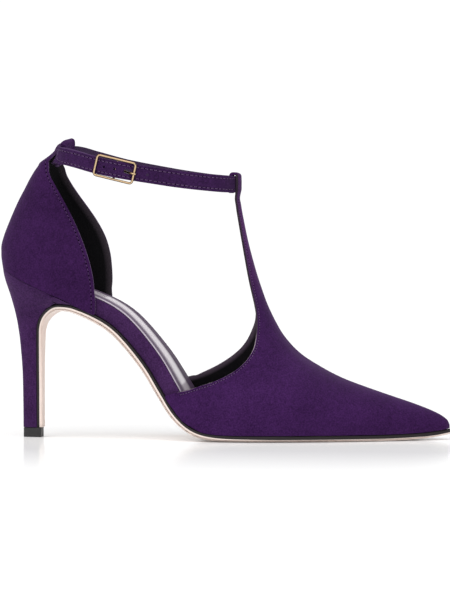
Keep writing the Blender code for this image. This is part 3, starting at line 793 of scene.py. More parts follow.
@contextmanager
def editing(piece: Piece, kind: SelectKind) -> Iterator[None]:
    """Edit mode on one object with nothing selected.

    Args:
        piece: object to edit.
        kind: what is selected in it.
    """
    select_only(piece)
    bpy.ops.object.mode_set(mode="EDIT")
    bpy.ops.mesh.select_mode(type=kind.value)
    bpy.ops.mesh.select_all(action="DESELECT")
    yield
    bpy.ops.object.mode_set(mode="OBJECT")


def copy_node(node: str, name: str) -> Piece:
    """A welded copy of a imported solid.

    Args:
        node: name of the solid.
        name: name of the new object.

    Returns:
        The new object.
    """
    piece = bpy.data.objects.new(name, bpy.data.objects[node].data.copy())
    bpy.context.scene.collection.objects.link(piece)
    piece.data.materials.clear()
    with editing(piece, SelectKind.FACE):
        bpy.ops.mesh.select_all(action="SELECT")
        bpy.ops.mesh.remove_doubles(threshold=WELD)
    select_only(piece)
    bpy.ops.mesh.customdata_custom_splitnormals_clear()
    return piece


def search_tree(points: list[Vector]) -> KDTree:
    """A tree that finds the nearest of many points.

    Args:
        points: the points.

    Returns:
        The balanced tree.
    """
    tree = KDTree(len(points))
    for number, point in enumerate(points):
        tree.insert(point, number)
    tree.balance()
    return tree


def join_triangles(piece: Piece) -> None:
    """Turn a piece's triangles back into quads, within each of its materials.

    Args:
        piece: object to change.
    """
    with editing(piece, SelectKind.FACE):
        bpy.ops.mesh.select_all(action="SELECT")
        bpy.ops.mesh.tris_convert_to_quads(
            face_threshold=math.radians(60),
            shape_threshold=math.radians(150),
            topology_influence=2.0,
            materials=True,
        )


def crease_corners(piece: Piece, crease: float) -> None:
    """Hold the corners of a piece that is about to be subdivided.

    Args:
        piece: object to change.
        crease: how firmly they hold, from 0 to 1.
    """
    with editing(piece, SelectKind.EDGE):
        bpy.ops.mesh.edges_select_sharp(sharpness=math.radians(CORNER))
        bpy.ops.transform.edge_crease(value=crease)


def read_points(mesh: Mesh) -> np.ndarray:
    """Read a mesh's points.

    Args:
        mesh: mesh to read.

    Returns:
        One row for each vertex.
    """
    points = np.empty(len(mesh.vertices) * 3)
    mesh.vertices.foreach_get("co", points)
    return points.reshape(-1, 3)


def subdivide(piece: Piece) -> None:
    """Round a piece with a Subdivision Surface that still passes through its own points, and apply it.

    The rounded surface is held within ROUNDING_SLACK of the faces it had before.

    Args:
        piece: object to change.
    """
    select_only(piece)
    bpy.ops.object.modifier_add(type="SUBSURF")
    modifier = piece.modifiers[-1]
    modifier.levels = ROUNDING_LEVELS
    modifier.render_levels = ROUNDING_LEVELS
    wanted = read_points(piece.data)
    solid = BVHTree.FromPolygons(wanted.tolist(), [tuple(face.vertices) for face in piece.data.polygons])
    control = wanted.copy()
    for _ in range(FITTING_PASSES):
        rounded = piece.evaluated_get(bpy.context.evaluated_depsgraph_get())
        control += wanted - read_points(rounded.to_mesh())[: len(wanted)]
        rounded.to_mesh_clear()
        piece.data.vertices.foreach_set("co", control.ravel())
        piece.data.update()
    bpy.ops.object.modifier_apply(modifier=modifier.name)
    for vertex in piece.data.vertices:
        place, _, _, far = solid.find_nearest(vertex.co)
        if far > ROUNDING_SLACK:
            vertex.co = place + (vertex.co - place) * (ROUNDING_SLACK / far)
    bpy.ops.object.shade_smooth()


def soften(piece: Piece, width: float, steps: int = EDGE_STEPS) -> None:
    """Round the sharp edges of a piece with a Bevel and apply it.

    Args:
        piece: object to change.
        width: bevel width.
        steps: steps of the round.
    """
    select_only(piece)
    bpy.ops.object.modifier_add(type="BEVEL")
    modifier = piece.modifiers[-1]
    modifier.width = width
    modifier.segments = steps
    modifier.limit_method = "ANGLE"
    modifier.angle_limit = math.radians(SOFT_CORNER)
    bpy.ops.object.modifier_apply(modifier=modifier.name)
    bpy.ops.object.shade_smooth_by_angle(angle=math.radians(SOFT_CORNER))


def smooth_regions(mesh: Mesh, angle: float = CORNER, apart: frozenset[int] = frozenset()) -> list[list[int]]:
    """Faces that hang together without crossing a corner.

    Args:
        mesh: mesh to read.
        angle: smallest corner, in degrees.
        apart: faces that are left out.

    Returns:
        Lists of face numbers, largest area first.
    """
    shape = bmesh.new()
    shape.from_mesh(mesh)
    shape.faces.ensure_lookup_table()
    limit = math.radians(angle)
    seen = [number in apart for number in range(len(shape.faces))]
    regions = []
    for first in shape.faces:
        if seen[first.index]:
            continue
        seen[first.index] = True
        region = []
        waiting = [first]
        while waiting:
            face = waiting.pop()
            region.append(face.index)
            for edge in face.edges:
                if len(edge.link_faces) != 2 or edge.calc_face_angle() > limit:
                    continue
                for other in edge.link_faces:
                    if not seen[other.index]:
                        seen[other.index] = True
                        waiting.append(other)
        regions.append((sum(shape.faces[number].calc_area() for number in region), region))
    shape.free()
    return [region for _, region in sorted(regions, key=lambda item: -item[0])]


def wall_sides(mesh: Mesh, thick: float, toe_x: float) -> np.ndarray:
    """Tell the outside, lining and rim of a hollow wall apart.

    A rim face looks a long way into the leather, the others only through its thickness, and it joins the
    corners of both. In front of toe_x the leather is filled out to a solid point, and there the faces that
    look down are rim.

    Args:
        mesh: mesh of the wall, in triangles.
        thick: thickness of the leather.
        toe_x: where the filled point starts.

    Returns:
        A WallFace value for each face.
    """
    skin = BVHTree.FromPolygons(read_points(mesh).tolist(), [tuple(face.vertices) for face in mesh.polygons])
    rim = set()
    for face in mesh.polygons:
        below = face.center - face.normal * SKIN_DEPTH * thick
        depth = skin.ray_cast(below, -face.normal)[3] or math.inf
        if face.center.x > toe_x:
            is_rim = face.normal.z < TOE_RIM_NORMAL
        else:
            is_rim = depth > RIM_DEPTH * thick
        if is_rim:
            rim.add(face.index)
    sides = np.full(len(mesh.polygons), WallFace.RIM.value)
    corners = []
    regions = smooth_regions(mesh, WALL_CORNER, frozenset(rim))
    for side, region in zip((WallFace.OUTSIDE, WallFace.LINING), regions):
        sides[region] = side.value
        corners.append({corner for number in region for corner in mesh.polygons[number].vertices})
    outer, inner = corners
    for face in mesh.polygons:
        if sides[face.index] != WallFace.RIM.value or face.center.x > toe_x:
            continue
        if inner.isdisjoint(face.vertices):
            sides[face.index] = WallFace.OUTSIDE.value
        elif outer.isdisjoint(face.vertices):
            sides[face.index] = WallFace.LINING.value
    return sides


def crease_between(mesh: Mesh, sides: np.ndarray, crease: float) -> None:
    """Hold the edges between different sides of a wall that is about to be subdivided.

    Args:
        mesh: mesh of the wall.
        sides: side of each face.
        crease: how firmly they hold, from 0 to 1.
    """
    met: dict[tuple[int, int], set[int]] = {}
    for face in mesh.polygons:
        for pair in face.edge_keys:
            met.setdefault(pair, set()).add(int(sides[face.index]))
    values = [crease if len(met[edge.key]) > 1 else 0.0 for edge in mesh.edges]
    mesh.attributes.new("crease_edge", "FLOAT", "EDGE").data.foreach_set("value", values)


def thin_out(mesh: Mesh, reach: float, wanted: Callable[[np.ndarray], bool]) -> None:
    """Take out points that crowd a corner line between two materials, so that no slivers are rounded.

    Args:
        mesh: mesh in triangles, with a material for each side.
        reach: distance from the line within which points go.
        wanted: test for the points of the line that are looked at.
    """
    shape = bmesh.new()
    shape.from_mesh(mesh)
    starts = []
    runs = []
    corners = set()
    for edge in shape.edges:
        if len({face.material_index for face in edge.link_faces}) > 1:
            corners.update(edge.verts)
            if all(wanted(np.array(vertex.co)) for vertex in edge.verts):
                starts.append(edge.verts[0].co)
                runs.append(edge.verts[1].co - edge.verts[0].co)
    first = np.array(starts)
    run = np.array(runs)
    crowded = []
    for vertex in shape.verts:
        if vertex not in corners:
            offset = np.array(vertex.co) - first
            share = np.clip((offset * run).sum(axis=1) / (run * run).sum(axis=1), 0.0, 1.0)
            if np.linalg.norm(offset - run * share[:, None], axis=1).min() < reach:
                crowded.append(vertex)
    bmesh.ops.dissolve_verts(shape, verts=crowded)
    wide = [face for face in shape.faces if len(face.verts) > 3]
    bmesh.ops.triangulate(shape, faces=wide, ngon_method="BEAUTY")
    shape.to_mesh(mesh)
    shape.free()


@dataclass
class EdgeLine:
    """A row of points along an edge, with the way into the surface at each."""

    points: np.ndarray
    inward: np.ndarray

    def runs(self, keep: Callable[[np.ndarray], bool]) -> list[EdgeLine]:
        """Stretches of the line whose points pass a test.

        Args:
            keep: test on one point.

        Returns:
            The stretches of four points or more.
        """
        good = [bool(keep(point)) for point in self.points]
        if not all(good):
            start = good.index(False)
            order = list(range(start, len(good))) + list(range(start))
        else:
            order = list(range(len(good))) + [0]
        found = []
        current: list[int] = []
        for number in order:
            if good[number]:
                current.append(number)
            elif current:
                found.append(current)
                current = []
        found.append(current)
        return [EdgeLine(self.points[run], self.inward[run]) for run in found if len(run) > 3]

    def places(self, pitch: float) -> tuple[np.ndarray, np.ndarray, np.ndarray]:
        """Even places along the line.

        Args:
            pitch: wanted distance between them.

        Returns:
            Points, inward directions and directions along the line.
        """
        points = self.points.copy()
        points[1:-1] = (points[:-2] + 2 * points[1:-1] + points[2:]) / 4
        run = np.concatenate([[0.0], np.cumsum(np.linalg.norm(np.diff(points, axis=0), axis=1))])
        at = np.linspace(0, run[-1], max(2, round(run[-1] / pitch)))
        spots = np.column_stack([np.interp(at, run, points[:, axis]) for axis in range(3)])
        inward = np.column_stack([np.interp(at, run, self.inward[:, axis]) for axis in range(3)])
        along = np.gradient(spots, axis=0)
        along /= np.linalg.norm(along, axis=1, keepdims=True)
        inward -= along * (inward * along).sum(axis=1, keepdims=True)
        inward /= np.linalg.norm(inward, axis=1, keepdims=True)
        return spots, inward, along


def edge_lines(mesh: Mesh, region: list[int]) -> list[EdgeLine]:
    """The closed lines round a region of faces.

    Args:
        mesh: mesh to read.
        region: face numbers.

    Returns:
        The lines, longest first.
    """
    shape = bmesh.new()
    shape.from_mesh(mesh)
    shape.faces.ensure_lookup_table()
    inside = set(region)
    around: dict[int, list[tuple[int, Vector]]] = {}
    for number in region:
        face = shape.faces[number]
        for loop in face.loops:
            if all(other.index in inside for other in loop.edge.link_faces):
                continue
            first = loop.vert
            second = loop.link_loop_next.vert
            into = face.normal.cross(second.co - first.co)
            around.setdefault(first.index, []).append((second.index, into))
            around.setdefault(second.index, []).append((first.index, into))
    shape.verts.ensure_lookup_table()
    lines = []
    left = set(around)
    while left:
        here = left.pop()
        path = [here]
        while True:
            ahead = [number for number, _ in around[path[-1]] if number in left]
            if not ahead:
                break
            left.discard(ahead[0])
            path.append(ahead[0])
        points = np.array([shape.verts[number].co for number in path])
        inward = np.array([sum((into for _, into in around[number]), Vector()) for number in path])
        lines.append(EdgeLine(points, inward))
    shape.free()
    return sorted(lines, key=lambda line: -len(line.points))


@dataclass
class Needle:
    """Sews rows of single stitches onto a finished surface."""

    SIDES: ClassVar[int] = 8
    END_ROUND: ClassVar[float] = 0.32
    BOW_RISE: ClassVar[float] = 0.25
    BOW_DROP: ClassVar[float] = 1.3
    HOLE_DEPTH: ClassVar[float] = 0.1 * MM
    length: float = 1.3 * MM
    thick: float = 0.36 * MM
    pitch: float = 2.0 * MM
    hole: float = 0.30 * MM
    trough_reach: float = 0.9 * MM
    pattern: Pattern | None = None
    hole_shade_disc: Pattern | None = None

    def shape_stitch(self) -> None:
        """Model one stitch and one dark disc of painted shade for a needle hole, which are then copied along
        every seam.
        """
        bpy.ops.object.select_all(action="DESELECT")
        bpy.ops.mesh.primitive_cylinder_add(vertices=self.SIDES, radius=self.thick / 2, depth=self.length)
        stitch = bpy.context.active_object
        stitch.rotation_euler = (0.0, math.radians(90), 0.0)
        bpy.ops.object.transform_apply(location=True, rotation=True, scale=True)
        with editing(stitch, SelectKind.FACE):
            bpy.ops.mesh.select_all(action="SELECT")
            bpy.ops.mesh.bevel(offset=self.thick * self.END_ROUND, segments=2, affect="EDGES")
        points, faces = self.take(stitch)
        points[:, 2] += self.thick * (self.BOW_RISE - self.BOW_DROP * (points[:, 0] / self.length) ** 2)
        self.pattern = (points, faces)
        bpy.ops.object.select_all(action="DESELECT")
        # A flat dark disc with painted shade stands in for each needle hole.
        bpy.ops.mesh.primitive_cylinder_add(vertices=self.SIDES, radius=self.hole, depth=self.HOLE_DEPTH)
        self.hole_shade_disc = self.take(bpy.context.active_object)

    @staticmethod
    def take(model: Piece) -> Pattern:
        """Read the shape of a modelled object, and remove the object.

        Args:
            model: the object.

        Returns:
            Its points and faces.
        """
        shape = (read_points(model.data), [tuple(face.vertices) for face in model.data.polygons])
        bpy.data.objects.remove(model)
        return shape

    @staticmethod
    def copies(name: str, pattern: Pattern, frames: list[tuple[np.ndarray, np.ndarray]]) -> Piece:
        """One object with a copy of a shape at every place.

        Args:
            name: name of the object.
            pattern: points and faces of the shape.
            frames: middle and axes of each place.

        Returns:
            The joined object.
        """
        points, faces = pattern
        vertices = np.concatenate([points @ axes + middle for middle, axes in frames])
        joined = []
        for copy in range(len(frames)):
            joined.extend(tuple(corner + copy * len(points) for corner in face) for face in faces)
        mesh = bpy.data.meshes.new(name)
        mesh.from_pydata(vertices.tolist(), [], joined)
        mesh.shade_smooth()
        piece = bpy.data.objects.new(name, mesh)
        bpy.context.scene.collection.objects.link(piece)
        return piece

    def sew(self, name: str, surface: Piece, lines: list[EdgeLine], inset: float) -> list[Piece]:
        """Sew along lines at a distance from the edge.

        Args:
            name: name for the pieces.
            surface: finished piece that is sewn.
            lines: edges that the seam follows.
            inset: distance of the seam from the edge.

        Returns:
            The thread and the discs of painted shade at the needle holes.
        """
        skin = BVHTree.FromObject(surface, bpy.context.evaluated_depsgraph_get())
        threads = []
        holes = []
        for line in lines:
            spots, inward, along = line.places(self.pitch)
            for spot, into, ahead in zip(spots, inward, along):
                place, normal, _, _ = skin.find_nearest(Vector(spot + into * inset))
                up = np.array(normal)
                forward = ahead - up * ahead.dot(up)
                forward /= np.linalg.norm(forward)
                axes = np.array([forward, np.cross(up, forward), up])
                threads.append((np.array(place), axes))
                gap = Vector(np.array(place) + forward * self.pitch / 2)
                dent = skin.find_nearest(gap)[0]
                holes.append((np.array(dent), axes))
        thread = self.copies(name + "_thread", self.pattern, threads)
        return [thread, self.copies(name + "_pinholes", self.hole_shade_disc, holes)]

    def press(self, surface: Piece, lines: list[EdgeLine], inset: float, depth: float) -> None:
        """Press a soft trough into a surface along a seam.

        Args:
            surface: piece that is sewn.
            lines: edges that the seam follows.
            inset: distance of the seam from the edge.
            depth: depth of the trough.
        """
        skin = BVHTree.FromObject(surface, bpy.context.evaluated_depsgraph_get())
        marks = []
        for line in lines:
            spots, inward, _ = line.places(SEAM_STEP)
            marks.extend(skin.find_nearest(Vector(spot))[0] for spot in spots + inward * inset)
        tree = search_tree(marks)
        for vertex in surface.data.vertices:
            far = tree.find(vertex.co)[2]
            if far < 3 * self.trough_reach:
                vertex.co -= vertex.normal * depth * math.exp(-((far / self.trough_reach) ** 2))


@dataclass
class SubAssembly:
    """A part of the shoe that a maker would put together from its own pieces."""

    @staticmethod
    def keep(piece: Piece, slot: str, *nodes: str) -> None:
        """Fix a finished piece to the shoe.

        Args:
            piece: the finished piece.
            slot: not used.
            *nodes: solids that it stands for.
        """
        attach(piece, "root")
        if nodes:
            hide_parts(*nodes)
        LOG.info("%s: %d faces", piece.name, len(piece.data.polygons))

    @staticmethod
    def rounded(node: str, name: str, edge_round: float = 0.0) -> Piece:
        """A copy of a solid with its curves rounded between its corners.

        Args:
            node: name of the solid.
            name: name of the new piece.
            edge_round: width of the rounds along the corners, or 0 for none.

        Returns:
            The new piece.
        """
        piece = copy_node(node, name)
        join_triangles(piece)
        crease_corners(piece, 1.0)
        subdivide(piece)
        if edge_round:
            soften(piece, edge_round)
        return piece


@dataclass
class Sole(SubAssembly):
    """Leather outsole with a black painted edge."""

    RISE: ClassVar[str] = "rise"
    leather: Finish = SoleLeather("sole_leather_and_paint")

    def build(self) -> None:
        """Mark the upper corner of the sole for its paint, then round it."""
        piece = copy_node("outsole", "sole_sheet")
        join_triangles(piece)
        mesh = piece.data
        regions = smooth_regions(mesh)[:2]
        upper = max(regions, key=lambda region: sum(mesh.polygons[n].normal.z for n in region) / len(region))
        rise = np.zeros(len(mesh.vertices))
        for number in upper:
            rise[list(mesh.polygons[number].vertices)] = 1.0
        mesh.attributes.new(self.RISE, "FLOAT", "POINT").data.foreach_set("value", rise)
        crease_corners(piece, 1.0)
        subdivide(piece)
        mesh.materials.append(self.leather.make())
        self.keep(piece, "sole_leather", "outsole")


@dataclass
class Heel(SubAssembly):
    """Slim suede-wrapped heel on its rubber tip."""

    edge_round: float = 0.25 * MM
    tip_round: float = 0.35 * MM
    wrap: Finish = Suede(
        "heel_wrap", cloud=60.0, deep=(0.0230, 0.0060, 0.0370), light=(0.0590, 0.0186, 0.0930)
    )
    tip: Finish = Rubber("tip_rubber")

    def build(self) -> None:
        """Round the heel and soften its tip."""
        piece = self.rounded("heel", "heel_wrap_shell", self.edge_round)
        piece.data.materials.append(self.wrap.make())
        self.keep(piece, "heel_suede", "heel")
        tip = copy_node("top_piece", "heel_tip")
        join_triangles(tip)
        soften(tip, self.tip_round)
        tip.data.materials.append(self.tip.make())
        self.keep(tip, "tip_rubber", "top_piece")


@dataclass
class FootBed(SubAssembly):
    """Wrapped insole board under a glossy sock."""

    ACROSS: ClassVar[str] = "across"
    stations: int = 60
    edge_round: float = 0.4 * MM
    wrap: Finish = Suede(
        "insole_wrap", cloud=60.0, deep=(0.0250, 0.0070, 0.0390), light=(0.0640, 0.0215, 0.0980)
    )
    sheet: Finish = SockLeather("sock_leather_sheet")

    def build(self) -> None:
        """Round the board's wrapped edge and lay the sock on it."""
        board = self.rounded("insole", "insole_wrapped_board", self.edge_round)
        board.data.materials.append(self.wrap.make())
        self.keep(board, "insole_suede", "insole")
        sock = self.rounded("sock", "sock_sheet")
        self.mark_across(sock.data)
        sock.data.materials.append(self.sheet.make())
        self.keep(sock, "sock_leather", "sock")

    def mark_across(self, mesh: Mesh) -> None:
        """Give each point its share of the way from the outer edge to the inner one.

        Args:
            mesh: mesh of the sock.
        """
        points = read_points(mesh)
        spots = np.linspace(points[:, 0].min(), points[:, 0].max(), self.stations)
        step = spots[1] - spots[0]
        near = [points[np.abs(points[:, 0] - spot) < step, 1] for spot in spots]
        low = np.interp(points[:, 0], spots, [row.min() for row in near])
        high = np.interp(points[:, 0], spots, [row.max() for row in near])
        share = (points[:, 1] - low) / (high - low)
        mesh.attributes.new(self.ACROSS, "FLOAT", "POINT").data.foreach_set("value", share)


@dataclass
class LeatherWall(SubAssembly):
    """A hollow piece of the upper: suede outside, lined inside, sewn along its free edge."""

    FROM_EDGE: ClassVar[str] = "from_edge"
    node: str = "vamp"
    name: str = "vamp_shell"
    slot: str = "vamp_suede"
    seam_inset: float = 1.5 * MM
    trough_depth: float = 0.18 * MM
    thick: float = 1.5 * MM
    toe_x: float = 96.0 * MM
    edge_round: float = 0.3 * MM
    crowd_reach: float = 0.0
    outside: Finish = RisingSuede(
        "upper_suede", stops=((76.0 * MM, 0.0), (102.0 * MM, 1.0), (128.0 * MM, 1.0), (136.0 * MM, 0.3))
    )
    lining: Finish = Lining("lining")
    rim: Finish = RisingSuede(
        "upper_rim",
        deep=(0.200, 0.150, 0.190),
        light=(0.420, 0.345, 0.390),
        high_deep=(0.020, 0.013, 0.021),
        high_light=(0.045, 0.030, 0.046),
        stops=((53.0 * MM, 0.0), (60.0 * MM, 1.0)),
    )
    thread: Finish = Thread("seam_thread")
    # Painted shade for the needle holes.
    dark: Finish = HoleShade("needle_hole_shade")
    needle: Needle = field(default_factory=Needle)

    def on_free_edge(self, point: np.ndarray) -> bool:
        """Whether a point of the rim is on the free edge that is sewn."""
        raise NotImplementedError

    def is_crowded(self, point: np.ndarray) -> bool:
        """Whether points lie too close together along the rim here."""
        return False

    def build(self) -> None:
        """Round the wall, line it and sew it."""
        piece = copy_node(self.node, self.name)
        for finish in (self.outside, self.lining, self.rim):
            piece.data.materials.append(finish.make())
        piece.data.polygons.foreach_set("material_index", wall_sides(piece.data, self.thick, self.toe_x))
        if self.crowd_reach:
            thin_out(piece.data, self.crowd_reach, self.is_crowded)
        join_triangles(piece)
        sides = np.array([face.material_index for face in piece.data.polygons])
        outside = np.flatnonzero(sides == WallFace.OUTSIDE.value).tolist()
        lines = []
        for line in edge_lines(piece.data, outside):
            lines.extend(line.runs(self.on_free_edge))
        crease_between(piece.data, sides, 1.0)
        subdivide(piece)
        soften(piece, self.edge_round)
        self.needle.press(piece, lines, self.seam_inset, self.trough_depth)
        self.mark_edge(piece.data, lines)
        self.keep(piece, self.slot, self.node)
        seams = self.needle.sew(self.node, piece, lines, self.seam_inset)
        for seam, finish in zip(seams, (self.thread, self.dark)):
            seam.data.materials.append(finish.make())
            self.keep(seam, self.slot)

    def mark_edge(self, mesh: Mesh, lines: list[EdgeLine]) -> None:
        """Give each point its distance from the free edge.

        Args:
            mesh: mesh of the wall.
            lines: the free edges.
        """
        tree = search_tree([Vector(spot) for line in lines for spot in line.places(SEAM_STEP)[0]])
        away = [tree.find(vertex.co)[2] for vertex in mesh.vertices]
        mesh.attributes.new(self.FROM_EDGE, "FLOAT", "POINT").data.foreach_set("value", away)


@dataclass
class Vamp(LeatherWall):
    """Pointed front upper with its T-bar."""

    corner_z: float = 24.7 * MM
    loop_z: float = 134.0 * MM
    crowd_reach: float = 2.6 * MM
    crowd_top: float = 50.0 * MM

    def on_free_edge(self, point: np.ndarray) -> bool:
        """Whether a point lies above the wing's corner and below the loop."""
        return self.corner_z < point[2] < self.loop_z

    def is_crowded(self, point: np.ndarray) -> bool:
        """Whether a point lies along the top of a wing, where the ribs run almost along the rim."""
        return self.corner_z < point[2] < self.crowd_top


@dataclass
class Quarter(LeatherWall):
    """Heel counter with its tab."""

    node: str = "quarter"
    name: str = "quarter_shell"
    slot: str = "quarter_suede"
    # Counter lining with fainter painted light near its edge.
    lining: Finish = Lining(
        "counter_lining", edge=(0.052, 0.040, 0.052), fade=(1.6 * MM, 4.4 * MM), gloss=0.1
    )
    rim: Finish = Suede("counter_rim", deep=(0.052, 0.022, 0.076), light=(0.100, 0.055, 0.130))
    thread: Finish = Thread("counter_thread", deep=(0.060, 0.025, 0.090), light=(0.150, 0.074, 0.195))
    outside: Finish = Suede("counter_suede", deep=(0.0165, 0.0027, 0.0290), light=(0.0430, 0.0092, 0.0735))
    seam_inset: float = 1.75 * MM
    seat_front: tuple[float, float] = (-79.0 * MM, 73.2 * MM)
    seat_slope: float = -0.4826
    corner_clear: float = 0.6 * MM
    tab_z: float = 156.0 * MM

    def on_free_edge(self, point: np.ndarray) -> bool:
        """Whether a point lies above the heel seat and below the tab."""
        seat = self.seat_front[1] + self.seat_slope * (point[0] - self.seat_front[0])
        return seat + self.corner_clear < point[2] < self.tab_z


@dataclass
class AnkleStrap(SubAssembly):
    """Sewn strap with its punched holes."""

    seam_inset: float = 1.5 * MM
    corner_crease: float = 0.5
    shortest_seam: int = 20
    hole_radius: float = 0.75 * MM
    hole_sides: int = 20
    hole_corner: float = 45.0
    punch_length: float = 2.6 * MM
    punch_sink: float = 0.85 * MM
    first_hole: float = -38.5 * MM
    hole_pitch: float = 6.05 * MM
    hole_reach: float = 1.5 * MM
    free_holes: tuple[int, ...] = (0, 3, 4)
    outer_turn_y: float = -24.0 * MM
    punch_from_y: float = -80.0 * MM
    ring_middle: tuple[float, float, float] = (-42.0 * MM, 0.0, 148.0 * MM)
    outside: Finish = Suede(
        "strap_suede", cloud=70.0, deep=(0.0150, 0.0035, 0.0265), light=(0.0470, 0.0130, 0.0780)
    )
    rim: Finish = Suede("strap_rim", deep=(0.040, 0.013, 0.065), light=(0.065, 0.027, 0.098))
    lining: Finish = Leather(
        "strap_lining", deep=(0.028, 0.013, 0.042), light=(0.052, 0.027, 0.074), gloss=0.15
    )
    thread: Finish = Thread("strap_thread")
    # Painted shade for the needle holes.
    dark: Finish = HoleShade("strap_needle_hole")
    needle: Needle = field(default_factory=Needle)

    def build(self) -> None:
        """Round the strap, line it, punch it and sew it."""
        piece = copy_node("ankle_strap", "strap_band")
        join_triangles(piece)
        mesh = piece.data
        regions = smooth_regions(mesh)[:2]
        outside, inside = sorted(regions, key=lambda region: self.facing_in(mesh, region))
        for finish in (self.outside, self.lining, self.rim):
            mesh.materials.append(finish.make())
        sides = np.full(len(mesh.polygons), WallFace.RIM.value)
        sides[outside] = WallFace.OUTSIDE.value
        sides[inside] = WallFace.LINING.value
        mesh.polygons.foreach_set("material_index", sides)
        lines = [line for line in edge_lines(mesh, outside) if len(line.points) > self.shortest_seam]
        crease_corners(piece, self.corner_crease)
        subdivide(piece)
        seams = self.needle.sew("ankle_strap", piece, lines, self.seam_inset)
        self.punch(piece)
        self.keep(piece, "strap_suede", "ankle_strap")
        for seam, finish in zip(seams, (self.thread, self.dark)):
            seam.data.materials.append(finish.make())
            self.keep(seam, "strap_suede")

    def facing_in(self, mesh: Mesh, region: list[int]) -> float:
        """How much of a region faces the ankle.

        Args:
            mesh: mesh of the strap.
            region: face numbers.

        Returns:
            Area facing the ankle less area facing away.
        """
        middle = Vector(self.ring_middle)
        total = 0.0
        for number in region:
            face = mesh.polygons[number]
            total += face.area * (middle - face.center).normalized().dot(face.normal)
        return total

    def punch(self, piece: Piece) -> None:
        """Cut the round holes for the prong through the strap's outer layer.

        Args:
            piece: the strap.
        """
        skin = BVHTree.FromObject(piece, bpy.context.evaluated_depsgraph_get())
        points = read_points(piece.data)
        near = points[points[:, 1] < self.outer_turn_y]
        for number in self.free_holes:
            x = self.first_hole - number * self.hole_pitch
            around = near[np.abs(near[:, 0] - x) < self.hole_reach, 2]
            middle = (around.min() + around.max()) / 2
            start = Vector((x, self.punch_from_y, middle))
            place, normal, _, _ = skin.ray_cast(start, Vector((0.0, 1.0, 0.0)))
            bpy.ops.object.select_all(action="DESELECT")
            bpy.ops.mesh.primitive_cylinder_add(
                vertices=self.hole_sides, radius=self.hole_radius, depth=self.punch_length
            )
            cutter = bpy.context.active_object
            turn = normal.to_track_quat("Z", "Y").to_matrix().to_4x4()
            cutter.matrix_world = Matrix.Translation(place - normal * self.punch_sink) @ turn
            select_only(piece)
            bpy.ops.object.modifier_add(type="BOOLEAN")
            modifier = piece.modifiers[-1]
            modifier.operation = "DIFFERENCE"
            modifier.solver = "EXACT"
            modifier.object = cutter
            bpy.ops.object.modifier_apply(modifier=modifier.name)
            bpy.data.objects.remove(cutter)
        select_only(piece)
        bpy.ops.object.shade_smooth_by_angle(angle=math.radians(self.hole_corner))


@dataclass
class Buckle(SubAssembly):
    """Gilt frame, bar and prong."""

    edge_round: float = 0.28 * MM
    round_steps: int = 2
    frame: Finish = Gilt("frame_gilt")
    bar: Finish = Gilt("bar_gilt")
    prong: Finish = Gilt("prong_gilt")

    def build(self) -> None:
        """Round the wires."""
        for node, name, finish, slot in (
            ("buckle_frame", "buckle_frame_wire", self.frame, "frame_gold"),
            ("buckle_bar", "buckle_bar_wire", self.bar, "bar_gold"),
            ("buckle_prong", "buckle_prong_wire", self.prong, "prong_gold"),
        ):
            piece = copy_node(node, name)
            join_triangles(piece)
            soften(piece, self.edge_round, self.round_steps)
            piece.data.materials.append(finish.make())
            self.keep(piece, slot, node)


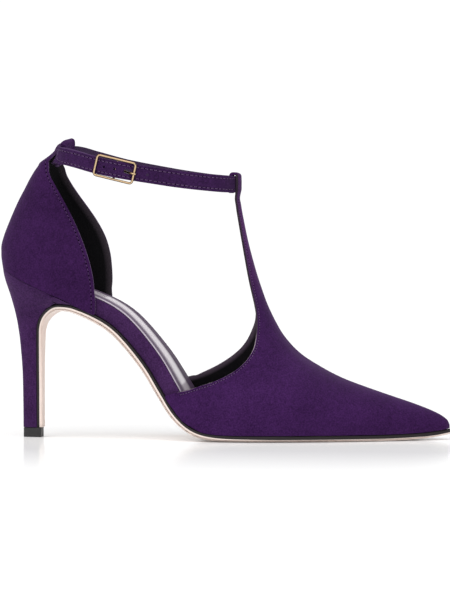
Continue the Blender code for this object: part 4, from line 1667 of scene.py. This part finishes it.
@dataclass
class Studio:
    """Pale floor, soft light and the camera."""

    centre: tuple[float, float, float] = (0.436 * MM, 0.6 * MM, 77.1 * MM)
    yaw: float = 7.5
    distance: float = 2.0
    eye: float = 0.130
    pixel: float = 0.557 * MM
    image_height: int = 600
    sensor: float = 36.0
    clip_end: float = 20.0
    floor_size: float = 6.0
    surround: float = 1.06
    ceiling: float = 0.42
    ceiling_starts: tuple[float, float] = (0.10, 0.26)
    key_power: float = 2.4
    key_spread: float = 70.0
    key_from: tuple[float, float, float] = (-0.35, -0.75, 1.5)

    def build(self) -> None:
        """Set up the whole studio."""
        self.lay_floor()
        self.light()
        self.place_camera()

    def lay_floor(self) -> None:
        """A large white board."""
        bpy.ops.object.select_all(action="DESELECT")
        bpy.ops.mesh.primitive_plane_add(size=self.floor_size)
        floor = bpy.context.active_object
        floor.name = "studio_floor"
        floor.data.materials.append(PaleFloor("studio_board").make())

    def light(self) -> None:
        """An even white surround with one broad soft light from above and in front."""
        world = bpy.data.worlds.new("studio")
        bpy.context.scene.world = world
        world.use_nodes = True
        graph = Graph(world.node_tree)
        background = world.node_tree.nodes["Background"]
        height = graph.along(graph.add("ShaderNodeTexCoord").outputs["Generated"], "Z")
        fall = graph.spread(height, *self.ceiling_starts, self.surround, self.ceiling)
        graph.join(fall, background.inputs["Strength"])
        background.inputs["Color"].default_value = (1.0, 1.0, 1.0, 1.0)
        lamp = bpy.data.lights.new("key", "SUN")
        lamp.energy = self.key_power
        lamp.angle = math.radians(self.key_spread)
        holder = bpy.data.objects.new("key", lamp)
        bpy.context.scene.collection.objects.link(holder)
        holder.rotation_euler = (-Vector(self.key_from)).to_track_quat("-Z", "Y").to_euler()
        bpy.context.scene.view_settings.view_transform = "Standard"

    def place_camera(self) -> None:
        """The photograph's view: from the outer side, a little from the front."""
        data = bpy.data.cameras.new("camera")
        camera = bpy.data.objects.new("camera", data)
        bpy.context.scene.collection.objects.link(camera)
        turn = math.radians(self.yaw)
        target = Vector(self.centre)
        camera.location = (
            target.x + self.distance * math.sin(turn),
            target.y - self.distance * math.cos(turn),
            self.eye,
        )
        camera.rotation_euler = (target - camera.location).to_track_quat("-Z", "Y").to_euler()
        data.sensor_width = self.sensor
        data.lens = self.sensor * self.distance / (self.image_height * self.pixel)
        data.clip_end = self.clip_end
        bpy.context.scene.camera = camera


def main() -> None:
    """Load the solids, dress them and set up the studio."""
    logging.basicConfig(level=logging.INFO, format="%(message)s")
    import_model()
    fine = Needle(length=1.05 * MM, thick=0.34 * MM, pitch=1.55 * MM, hole=0.24 * MM)
    middle = Needle(length=1.35 * MM, pitch=2.3 * MM, hole=0.38 * MM)
    broad = Needle(length=1.7 * MM, thick=0.4 * MM, pitch=2.5 * MM)
    for needle in (fine, middle, broad):
        needle.shape_stitch()
    parts = (
        Sole(),
        Heel(),
        FootBed(),
        Vamp(needle=fine),
        Quarter(needle=middle),
        AnkleStrap(needle=broad),
        Buckle(),
    )
    for part in parts:
        part.build()
    Studio().build()


if __name__ == "__main__":
    main()
